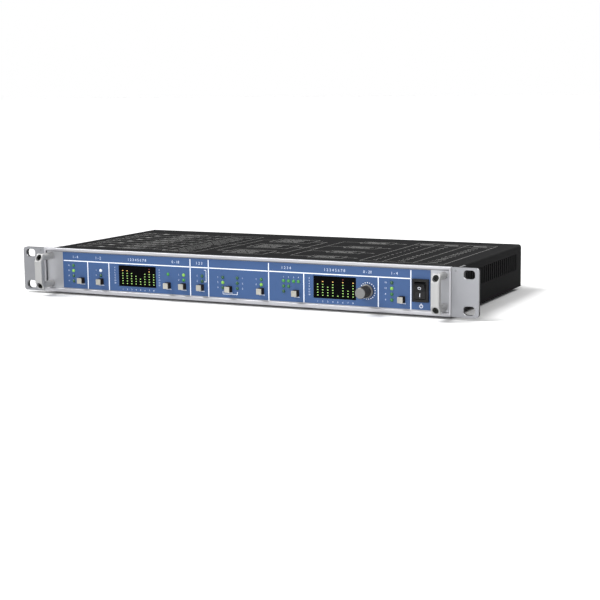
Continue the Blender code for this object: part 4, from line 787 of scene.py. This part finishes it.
def add_rim():
    """The rounded bead on the front panel's rim, and a dark strip below and beside it that paints the shadow
    on the recessed face, over a narrow gap.
    """
    low, high = rack_box("front_panel")
    side = high.x - RIM_SIDE / 2
    bead = Solid()
    for z, height in ((high.z - RIM_TOP / 2, RIM_TOP), (low.z + RIM_BASE / 2, RIM_BASE)):
        bead.bead((low.x + 0.1, low.y, z), (high.x - 0.1, low.y, z), height, RIM_OUT)
    for x in (-side, side):
        bead.bead((x, low.y, low.z + 1.0), (x, low.y, high.z - 1.0), RIM_SIDE, RIM_OUT)
    bead.piece("rim_bead", rim_highlight_silver, slot="silver_paint", smooth=60.0)
    # Thin dark grey strips under the top bead and inside the side beads paint the shadow on the recessed face
    gap = Solid()
    top = high.z - RIM_TOP
    wall = high.x - RIM_SIDE
    gap.box((-wall, low.y + 0.3, top - RIM_SHADOW_GAP), (wall, FASCIA + 0.55, top))
    for x in (-wall, wall - RIM_SHADOW_GAP / 2):
        gap.box((x, low.y + 0.6, low.z + RIM_BASE), (x + RIM_SHADOW_GAP / 2, FASCIA + 0.55, top - RIM_SHADOW_GAP))
    gap.piece("rim_shadow_gap", shadow_gap_grey, slot="black_paint")


def add_bracket_edges():
    """The bare cut edge on top of each ear bracket's flange, made pale to paint the highlight that the edge
    catches.
    """
    edges = Solid()
    for side in ("left", "right"):
        low, high = rack_box(f"ear_bracket_{side}")
        inner = low.x if side == "right" else high.x - BRACKET_SHEET
        top = high.z - FLANGE_STEP
        start = (inner + 0.1, low.y + 5.2, top - 0.2)
        edges.box(start, (inner + BRACKET_SHEET - 0.1, high.y - 0.2, top + INK))
    edges.piece("bracket_edges", lit_cut_edge, slot="bright_steel")


SCALE_RADIUS = 7.5
SCALE_DOTS = 21


def add_knob_scale():
    scale = front_print()
    for index in range(SCALE_DOTS):
        angle = 2 * math.pi * index / SCALE_DOTS
        scale.dot(KNOB_X + SCALE_RADIUS * math.sin(angle), KNOB_Z + SCALE_RADIUS * math.cos(angle), 0.95, 10)
    scale.piece("knob_scale", white_ink, slot="blue_print")


def rocker_ramp(side):
    """A print on the rocker's upper (1) or lower (-1) ramp."""
    tip = Vector((0, ROCKER_TIP_OUT, side * ROCKER_TIP_RISE))
    middle = Vector((0, ROCKER_WAIST_OUT, 0))
    turn = Matrix.Rotation(ROCKER_TILT, 3, "X")
    along = turn @ (tip - middle).normalized() * side
    return Print((1, 0, 0), along, Vector(ROCKER_PIVOT) + turn @ (tip + middle) / 2)


def add_power_marks():
    """The stroke in a ring below the switch, and the marks on its rocker."""
    below = front_print()
    below.ring(188.0, 7.8, 3.4, 0.45).upright(188.0, 8.0, 10.4, 0.5)
    below.piece("power_mark", white_ink, slot="blue_print")
    off_mark = rocker_ramp(1).ring(0, 0, 3.0, 0.45)
    off_mark.piece("rocker_off_mark", white_ink, "power_rocker", "black_plastic")
    on_mark = rocker_ramp(-1).upright(0, -1.6, 1.6, 0.5)
    on_mark.piece("rocker_on_mark", white_ink, "power_rocker", "black_plastic")


RIVET_X = 220.2
RIVET_Z = 41.2


def add_ear_rivets():
    """A small domed rivet near the top of each ear plate."""
    face = rack_box("ear_plate_right")[0].y
    rivets = Solid()
    for side in (-1, 1):
        dome = [(0, 0.25), (0.7, 0.2), (1.0, 0.1), (1.1, -0.1), (0, -0.1)]
        rivets.turned(dome, (side * RIVET_X, face, RIVET_Z), (0, -1, 0), 20)
    rivets.piece("ear_rivets", rivet_grey, slot="bright_steel")


FLANGE_SCREW_Y = 18.3
FLANGE_SCREW_Z = (32.5, 9.5)


def add_flange_screws():
    """Domed screws on the outside of each ear bracket's flange."""
    heads = Solid()
    for side in (-1, 1):
        edge = rack_box("ear_bracket_right")[0].x
        for z in FLANGE_SCREW_Z:
            head = [(0, 1.0), (1.2, 0.95), (2.2, 0.6), (2.6, 0.0), (0, 0.0)]
            heads.turned(head, (side * (edge + BRACKET_SHEET), FLANGE_SCREW_Y, z), (side, 0, 0), 24)
    heads.piece("flange_screws", screw_black, slot="black_steel")


# Rear pieces

SKIN = 0.2
RING_OUT = 3.5
JACK_HOLE = 10.2
MIDI_HOLE = 15.3
REMOTE_HOLE = 12.3
BNC_HOLE = 12.8
OPTICAL_HOLE = 9.9
POST_HOLE = 5.6
INLET_HOLE = (27.4, 21.0)
TERMINATION_HOLE = (4.4, 5.4)
CONTACT_PITCH = 2.77
CONTACT_ROWS = ((1.42, 13), (-1.42, 12))


def circle(x, z, diameter, sides=32):
    turns = [2 * math.pi * index / sides for index in range(sides)]
    return [(x + diameter / 2 * math.cos(t), z + diameter / 2 * math.sin(t)) for t in turns]


def oblong(x, z, width, height):
    w = width / 2
    h = height / 2
    return [(x - w, z - h), (x + w, z - h), (x + w, z + h), (x - w, z + h)]


def jack_row(first, step):
    return [first + step * JACK_PITCH * index for index in range(JACK_COUNT)]


OUTPUT_JACKS = jack_row(OUTPUT_JACK_X, 1)
INPUT_JACKS = jack_row(INPUT_JACK_X, -1)


def shell_outline(x, z, shrink):
    """The 25-pole shell, wider at its top, drawn in by a margin."""
    top = 19.6 - shrink
    base = 18.1 - shrink
    rise = 4.25 - shrink
    return [(x - base, z - rise), (x + base, z - rise), (x + top, z + rise), (x - top, z + rise)]


def add_rear_skin():
    """The painted face of the rear panel, cut out round each socket."""
    low, high = rack_box("rear_panel")
    edge = [(low.x, low.z), (high.x, low.z), (high.x, high.z), (low.x, high.z)]
    holes = [circle(x, JACK_Z, JACK_HOLE) for x in OUTPUT_JACKS + INPUT_JACKS]
    holes += [circle(x, MIDI_Z, MIDI_HOLE) for x in MIDI_X]
    holes += [circle(*REMOTE, REMOTE_HOLE)]
    holes += [circle(x, BNC_Z, BNC_HOLE) for x in BNC_X]
    holes += [oblong(x, OPTICAL_Z, OPTICAL_HOLE, OPTICAL_HOLE) for x in OPTICAL_X]
    for x, z in DSUB_PLACES:
        holes.append(shell_outline(x, z, -0.3))
        holes += [circle(x + side * DSUB_POST / 2, z, POST_HOLE, 16) for side in (-1, 1)]
    holes.append(oblong(*INLET, *INLET_HOLE))
    holes.append(oblong(*TERMINATION, *TERMINATION_HOLE))
    Solid().pierced(edge, holes, REAR + 0.02, REAR + SKIN).piece("rear_skin", rear_grey, slot="grey_paint")


def add_jacks(node, places):
    """Eight jacks: bright bushes with black washers, in front of their moulded bodies."""
    low, high = rack_box(node)
    middle_z = (low.z + JACK_BODY_TOP) / 2
    edge = oblong((low.x + high.x) / 2, middle_z, high.x - low.x, JACK_BODY_TOP - low.z)
    bodies = Solid().pierced(edge, [circle(x, JACK_Z, 7.0, 24) for x in places], low.y, REAR - 0.1)
    rings = Solid()
    depth = low.y - REAR + 0.6
    for x in places:
        base = (x, REAR, JACK_Z)
        floor = depth + 0.5
        tube = [(3.6, 0.6), (3.6, depth), (0, depth), (0, floor), (3.2, floor), (3.2, 0.6), (3.6, 0.6)]
        bodies.turned(tube, base, (0, 1, 0), 24)
        washer = [(4.8, SKIN), (5.7, SKIN), (5.7, 0.95), (5.4, 1.25), (4.8, 1.25), (4.8, SKIN)]
        bodies.turned(washer, base, (0, 1, 0), 36)
        bush = [(3.25, 0.4), (4.85, 0.4), (4.85, RING_OUT - 0.5), (4.45, RING_OUT)]
        bush += [(3.7, RING_OUT), (3.25, RING_OUT - 0.4), (3.25, 0.4)]
        rings.turned(bush, base, (0, 1, 0), 36)
    bodies.piece(f"{node}_bodies", black_moulding, slot="black_plastic", replaces=(node,))
    rings.piece(f"{node}_bushes", nickel, slot="nickel")


def add_round_sockets():
    """Faces of the two five-pole sockets and of the small remote socket, with painted shade behind their pin
    holes.
    """
    face = rack_box("midi_sockets")[1].y
    faces = Solid()
    # Near-black discs just behind the faces paint the shade seen through the pin holes
    pits = Solid()
    for x in MIDI_X:
        pins = [math.radians(45 * index) for index in range(5)]
        holes = [circle(x + 3.7 * math.cos(a), MIDI_Z + 3.7 * math.sin(a), 1.9, 14) for a in pins]
        holes.append(oblong(x, MIDI_Z - 5.6, 2.4, 1.6))
        faces.pierced(circle(x, MIDI_Z, 13.4, 48), holes, face - 0.1, face + 0.25)
        rim = [(6.7, 0), (7.5, 0), (7.5, 0.3), (7.2, 0.55), (6.7, 0.55), (6.7, 0)]
        faces.turned(rim, (x, face - 0.1, MIDI_Z), (0, 1, 0), 48)
        pits.rod((x, face - 0.1, MIDI_Z), (x, face + 0.03, MIDI_Z), 13.2, 32)
    faces.piece("five_pole_faces", black_moulding, slot="black_plastic")
    x, z = REMOTE
    face = rack_box("remote_socket")[1].y
    ring = [(4.6, -0.2), (6.0, -0.2), (6.0, 0.35), (5.7, 0.6), (4.9, 0.6), (4.6, 0.35), (4.6, -0.2)]
    Solid().turned(ring, (x, face, z), (0, 1, 0), 48).piece("remote_ring", nickel, slot="nickel")
    pins = [math.radians(45 * index + 22.5) for index in range(8)]
    holes = [circle(x + 2.6 * math.cos(a), z + 2.6 * math.sin(a), 0.9, 10) for a in pins]
    holes.append(oblong(x, z - 0.2, 1.6, 1.0))
    plug = Solid().pierced(circle(x, z, 9.1, 40), holes, face - 0.1, face + 0.2)
    plug.piece("remote_face", remote_olive, slot="dark_plastic")
    pits.rod((x, face - 0.1, z), (x, face + 0.03, z), 8.8, 32)
    pits.piece("socket_pits", hole_shade_black, slot="black_plastic")


def add_bayonet_details():
    """Lugs, insulators and middle contacts of the two bayonet sockets."""
    lugs = Solid()
    sleeves = Solid()
    contacts = Solid()
    end = rack_box("bnc_output")[1].y
    for x in BNC_X:
        for side in (-1, 1):
            root = (x + side * 4.9, end - BNC_LUG_BACK, BNC_Z)
            lugs.rod(root, (x + side * 6.3, end - BNC_LUG_BACK, BNC_Z), 2.0, 16)
        rim = [(4.1, -0.9), (5.25, -0.9), (5.25, -0.25), (5.0, 0), (4.4, 0), (4.1, -0.25), (4.1, -0.9)]
        lugs.turned(rim, (x, end, BNC_Z), (0, 1, 0), 36)
        sleeve = [(0.9, -7.4), (2.5, -7.4), (2.5, -1.6), (2.2, -1.4), (0.9, -1.4), (0.9, -7.4)]
        sleeves.turned(sleeve, (x, end, BNC_Z), (0, 1, 0), 28)
        contact = [(0.35, -2.4), (0.85, -2.4), (0.85, -1.3), (0.35, -1.3), (0.35, -2.4)]
        contacts.turned(contact, (x, end, BNC_Z), (0, 1, 0), 20)
    lugs.piece("bayonet_lugs", nickel, slot="nickel")
    sleeves.piece("bayonet_insulators", ivory_insulator, slot="ivory_plastic")
    contacts.piece("bayonet_contacts", contact_gold, slot="nickel")


def add_dsub_details():
    """Moulded inserts, contacts and screw posts of the 25-pole sockets, with painted shade in the contacts'
    mouths and the posts' holes.
    """
    face = rack_box("dsub_upper")[1].y
    inserts = Solid()
    contacts = Solid()
    posts = Solid()
    # Near-black discs in the contact mouths and in the posts' threaded holes paint the shade inside them
    holes = Solid()
    for x, z in DSUB_PLACES:
        inserts.slab(shell_outline(x, z, 1.15), face - 0.4, face + 0.12)
        for rise, count in CONTACT_ROWS:
            for index in range(count):
                u = x + (index - (count - 1) / 2) * CONTACT_PITCH
                cup = [(0.35, 0), (0.75, 0), (0.75, 0.16), (0.35, 0.16), (0.35, 0)]
                contacts.turned(cup, (u, face, z + rise), (0, 1, 0), 10)
                holes.rod((u, face, z + rise), (u, face + 0.14, z + rise), 0.72, 8)
        for side in (-1, 1):
            u = x + side * DSUB_POST / 2
            posts.rod((u, REAR + 0.25, z), (u, face - 1.0, z), 6.2, 6, 6.2)
            lip = [(1.5, -1.2), (2.5, -1.2), (2.2, -0.75), (1.5, -0.75), (1.5, -1.2)]
            posts.turned(lip, (u, face, z), (0, 1, 0), 24)
            holes.rod((u, face - 1.1, z), (u, face - 0.95, z), 3.0, 16)
    inserts.piece("dsub_inserts", insert_brown, slot="dark_plastic")
    contacts.piece("dsub_contacts", contact_gold, slot="nickel")
    posts.piece("dsub_posts", nickel, slot="nickel")
    holes.piece("dsub_holes", hole_shade_black, slot="black_plastic")


INLET_DEPTH = 17.0
INLET_PINS = ((0, 3.5), (-7.0, -0.5), (7.0, -0.5))


def add_inlet_pins():
    """Three flat pins that stand on the floor of the mains inlet."""
    x, z = INLET
    floor = rack_box("mains_inlet")[1].y - INLET_DEPTH
    pins = Solid()
    for shift, rise in INLET_PINS:
        start = (x + shift - 1.05, floor, z + rise - 2.05)
        end = (x + shift + 1.05, floor + 15.05, z + rise + 2.05)
        pins.box(start, end, edge=0.35, segments=2)
    pins.piece("inlet_pins", nickel, slot="nickel")


def crosshead(heads, marks, x, y, z, diameter):
    """A domed screw head on the rear, with a dark cross that paints the shade in its recess."""
    r = diameter / 2
    dome = [(0, 1.0), (0.4 * r, 0.97), (0.8 * r, 0.7), (r, 0.2), (r, 0), (0, 0)]
    heads.turned(dome, (x, y, z), (0, 1, 0), 28)
    arm = 0.55 * r
    marks.box((x - arm, y + 0.7, z - 0.25), (x + arm, y + 1.03, z + 0.25))
    marks.box((x - 0.25, y + 0.7, z - arm), (x + 0.25, y + 1.03, z + arm))


COVER_SCREW_X = (-106.7, -205.9)
COVER_SCREW_Z = 32.4
COVER_SCREW_HEAD = 4.6
RECESS_X = (-142.0, -166.0)
RECESS_BARS = (
    ((-3.75, 19.6), (-3.15, 24.0)),
    ((3.15, 19.6), (3.75, 24.0)),
    ((-3.75, 21.2), (3.75, 21.8)),
)


def add_slot_cover_details():
    """Screws of the blank plate, and dark bars that paint the shade in its two recesses."""
    heads = Solid()
    marks = Solid()
    for x in COVER_SCREW_X:
        crosshead(heads, marks, x, PLATE_FACE, COVER_SCREW_Z, COVER_SCREW_HEAD)
    for x in RECESS_X:
        for low, high in RECESS_BARS:
            marks.box((x + low[0], PLATE_FACE - 0.2, low[1]), (x + high[0], PLATE_FACE + 0.03, high[1]))
    heads.piece("slot_cover_screws", screw_black, slot="black_steel")
    marks.piece("slot_cover_recesses", hole_shade_black, slot="black_plastic")


def add_rear_print():
    """Plain figures under the jacks, with dashes between them, and rules between the groups."""
    ink = rear_print()
    for places in (OUTPUT_JACKS, INPUT_JACKS):
        for index, x in enumerate(sorted(places), 1):
            ink.number(str(len(places) + 1 - index), -x, 4.9, 2.4)
        for x in sorted(places)[1:]:
            ink.across(JACK_PITCH / 2 - x - 1.5, JACK_PITCH / 2 - x + 1.5, JACK_Z + 0.4, 0.6)
    ink.upright(24.6, 4.3, 19.3, 0.5).across(55.1, 68.3, 33.0, 0.5)
    for index, x in enumerate(MIDI_X + (REMOTE[0], BNC_X[0]) + OPTICAL_X, 1):
        ink.number(str(index), -x, 20.9, 2.4)
    ink.piece("rear_marks", white_ink, slot="grey_paint")


# Print on the lid

LID_LINE = 0.5
LID_FIGURE = 5.0
CHANNELS = 8
CHANNEL_PITCH = 18.0
CHANNEL_FIRST = 38.5
TABLE_ROWS = 12
TABLE_PITCH = 10.5


def dashes(ink, u, v, lengths, height=1.0, gap=1.3):
    """A row of short bars."""
    for length in lengths:
        ink.bar(u, v, u + length, v + height)
        u += length + gap


def lines(ink, u, v, rows, pitch=3.6):
    """Rows of short bars, from the top down."""
    for row, lengths in enumerate(rows):
        dashes(ink, u, v - row * pitch, lengths)


def column(values):
    return "\n".join(str(value) for value in values)


def add_lid_inputs(ink):
    """The left third of the diagram: one line for each channel, up to a common block."""
    for channel in range(CHANNELS):
        v = CHANNEL_FIRST + channel * CHANNEL_PITCH
        ink.outline(-200.0, v - 4.5, -188.0, v + 4.5, LID_LINE)
        ink.across(-188.0, -176.0, v, LID_LINE).arrow(-172.0, v, 8.0)
        ink.across(-168.0, -152.0, v, LID_LINE).arrow(-152.5, v, 3.4)
        ink.outline(-150.0, v - 5.5, -124.0, v + 5.5, LID_LINE)
        lines(ink, -146.5, v + 1.2, ((7, 10), (11, 5)))
        ink.across(-124.0, -98.0, v, LID_LINE).arrow(-98.5, v, 3.4)
        ink.dot(-111.0, v, 2.0)
        ink.upright(-111.0, v, v + 0.45 * CHANNEL_PITCH, LID_LINE)
    middle = CHANNEL_FIRST + (CHANNELS - 1) * CHANNEL_PITCH / 2
    ink.number(column(range(CHANNELS, 0, -1)), -194.0, middle, LID_FIGURE, CHANNEL_PITCH)
    ink.outline(-96.0, 30.0, -58.0, 174.0, LID_LINE)
    rows = ((9, 5, 8), (5, 12), (12, 9), (6, 4, 10), (14, 7), (8, 11), (4, 9, 6), (10, 10))
    lines(ink, -90.0, 160.0, rows * 2, 8.4)


def add_lid_middle(ink):
    """The middle third: three blocks on a common line."""
    ink.across(-58.0, -34.0, 102.0, LID_LINE).arrow(-34.5, 102.0, 3.4).upright(-46.0, 52.0, 152.0, LID_LINE)
    for v in (52.0, 102.0, 152.0):
        ink.across(-46.0, -34.0, v, LID_LINE).arrow(-34.5, v, 3.4)
        ink.outline(-32.0, v - 15.0, 12.0, v + 15.0, LID_LINE)
        lines(ink, -27.0, v + 9.5, ((12, 7, 8), (9, 14), (6, 6, 13), (16, 8), (7, 11, 5)), 5.0)
        ink.across(12.0, 26.0, v, LID_LINE).dot(26.0, v, 2.0)
    ink.upright(26.0, 52.0, 152.0, LID_LINE).across(26.0, 40.0, 102.0, LID_LINE)
    ink.number("1\n2\n3", 19.0, 106.0, LID_FIGURE, 50.0)


def add_lid_outputs(ink):
    """The right third: a branch to each output, and a table of figures."""
    ink.upright(40.0, 40.0, 164.0, LID_LINE)
    for branch in range(4):
        v = 40.0 + branch * 41.3
        ink.across(40.0, 60.0, v, LID_LINE).arrow(59.5, v, 3.4)
        ink.outline(62.0, v - 8.0, 96.0, v + 8.0, LID_LINE)
        lines(ink, 66.0, v + 3.2, ((10, 12), (14, 5), (6, 9, 5)), 3.8)
        ink.across(96.0, 108.0, v, LID_LINE).arrow(108.0, v, 3.4)
    ink.outline(118.0, 26.0, 200.0, 178.0, LID_LINE)
    ink.across(118.0, 200.0, 162.0, LID_LINE)
    ink.upright(140.0, 26.0, 178.0, LID_LINE).upright(170.0, 26.0, 178.0, LID_LINE)
    middle = 26.0 + 136.0 / 2
    for step, u in ((1, 129.0), (10, 155.0), (100, 185.0)):
        figures = column(range(step, step * (TABLE_ROWS + 1), step))
        ink.number(figures, u, middle, LID_FIGURE, TABLE_PITCH)
        dashes(ink, u - 7.0, 168.5, (14,), 2.4)


def add_lid_print():
    """A plain block diagram: channels from the left meet in the middle and leave at the right."""
    ink = lid_print()
    add_lid_inputs(ink)
    add_lid_middle(ink)
    add_lid_outputs(ink)
    ink.piece("lid_diagram", lid_ink, slot="black_paint")


# Studio

FLOOR_SIZE = 60.0
SUN_FROM = (-560.0, -230.0, 1000.0)
SUN_POWER = 2.5
SUN_SPREAD = math.radians(26)
FRONT_PLACE = (320.0, -1500.0, 420.0)
FRONT_POWER = 15.5
FRONT_SIZE = 0.6
REAR_PLACE = (650.0, 2000.0, 1200.0)
REAR_POWER = 24.0
REAR_SIZE = 1.2
AIM = (60.0, 60.0, 20.0)
WORLD_DIFFUSE = 0.46
WORLD_GLOSSY = 0.66
WORLD_LEAN = -0.7


def add_camera():
    look = Vector(
        (
            math.sin(CAMERA_YAW) * math.cos(CAMERA_PITCH),
            math.cos(CAMERA_YAW) * math.cos(CAMERA_PITCH),
            math.sin(CAMERA_PITCH),
        )
    )
    side = Vector((math.cos(CAMERA_YAW), -math.sin(CAMERA_YAW), 0))
    up = side.cross(look)
    right = side * math.cos(CAMERA_ROLL) + up * math.sin(CAMERA_ROLL)
    top = up * math.cos(CAMERA_ROLL) - side * math.sin(CAMERA_ROLL)
    data = bpy.data.cameras.new("camera")
    data.lens = CAMERA_LENS
    data.sensor_width = SENSOR
    camera = bpy.data.objects.new("camera", data)
    turn = Matrix((right, top, -look)).transposed().to_4x4()
    camera.matrix_world = Matrix.Translation(at(*CAMERA_PLACE)) @ turn
    bpy.context.scene.collection.objects.link(camera)
    bpy.context.scene.camera = camera


def add_light(name, kind, place, power, size):
    """A softbox at a place, or a sun that shines from its direction."""
    data = bpy.data.lights.new(name, kind)
    data.energy = power
    if kind == "SUN":
        data.angle = size
    else:
        data.size = size
    light = bpy.data.objects.new(name, data)
    start = at(*place)
    turn = (at(*AIM) - start).to_track_quat("-Z", "Y").to_matrix().to_4x4()
    light.matrix_world = Matrix.Translation(start) @ turn
    bpy.context.scene.collection.objects.link(light)


def add_floor():
    bm = bmesh.new()
    bmesh.ops.create_grid(bm, x_segments=2, y_segments=2, size=FLOOR_SIZE / 2)
    mesh = bpy.data.meshes.new("studio_floor")
    bm.to_mesh(mesh)
    bm.free()
    pale = grained("studio_floor", (0.92, 0.92, 0.92), 0.85, 8.0, 0.0, vary=0.01, Specular_IOR_Level=0.1)
    mesh.materials.append(pale.material)
    floor = bpy.data.objects.new("studio_floor", mesh)
    bpy.context.scene.collection.objects.link(floor)


def add_world():
    """White behind the object, and round it a softer white that is weaker on the right."""
    world = bpy.data.worlds.new("studio")
    world.use_nodes = True
    tree = world.node_tree
    rays = tree.nodes.new("ShaderNodeLightPath")
    heading = tree.nodes.new("ShaderNodeSeparateXYZ")
    tree.links.new(tree.nodes.new("ShaderNodeTexCoord").outputs["Generated"], heading.inputs[0])
    lean = tree.nodes.new("ShaderNodeMath")
    lean.operation = "MULTIPLY_ADD"
    tree.links.new(heading.outputs["X"], lean.inputs[0])
    lean.inputs[1].default_value = WORLD_DIFFUSE * WORLD_LEAN
    lean.inputs[2].default_value = WORLD_DIFFUSE
    around = tree.nodes.new("ShaderNodeMix")
    tree.links.new(rays.outputs["Is Glossy Ray"], around.inputs[0])
    tree.links.new(lean.outputs[0], around.inputs[2])
    around.inputs[3].default_value = WORLD_GLOSSY
    behind = tree.nodes.new("ShaderNodeMix")
    tree.links.new(rays.outputs["Is Camera Ray"], behind.inputs[0])
    tree.links.new(around.outputs[0], behind.inputs[2])
    behind.inputs[3].default_value = 1.0
    tree.links.new(behind.outputs[0], tree.nodes["Background"].inputs["Strength"])
    tree.nodes["Background"].inputs["Color"].default_value = (1, 1, 1, 1)
    bpy.context.scene.world = world
    bpy.context.scene.view_settings.view_transform = "Standard"


dress_case()
dress_controls()
dress_sockets()
for number in range(1, BUTTON_COUNT + 1):
    add_button(number)
add_knob()
add_status_lights()
add_meters()
add_fascia_lines()
add_fascia_figures()
add_knob_scale()
add_power_marks()
add_rim()
add_bracket_edges()
add_ear_rivets()
add_flange_screws()
add_rear_skin()
add_jacks("output_jacks", OUTPUT_JACKS)
add_jacks("input_jacks", INPUT_JACKS)
add_round_sockets()
add_bayonet_details()
add_dsub_details()
add_inlet_pins()
add_slot_cover_details()
add_rear_print()
add_lid_print()
add_camera()
add_light("sun", "SUN", SUN_FROM, SUN_POWER, SUN_SPREAD)
add_light("front_softbox", "AREA", FRONT_PLACE, FRONT_POWER, FRONT_SIZE)
add_light("rear_softbox", "AREA", REAR_PLACE, REAR_POWER, REAR_SIZE)
add_floor()
add_world()
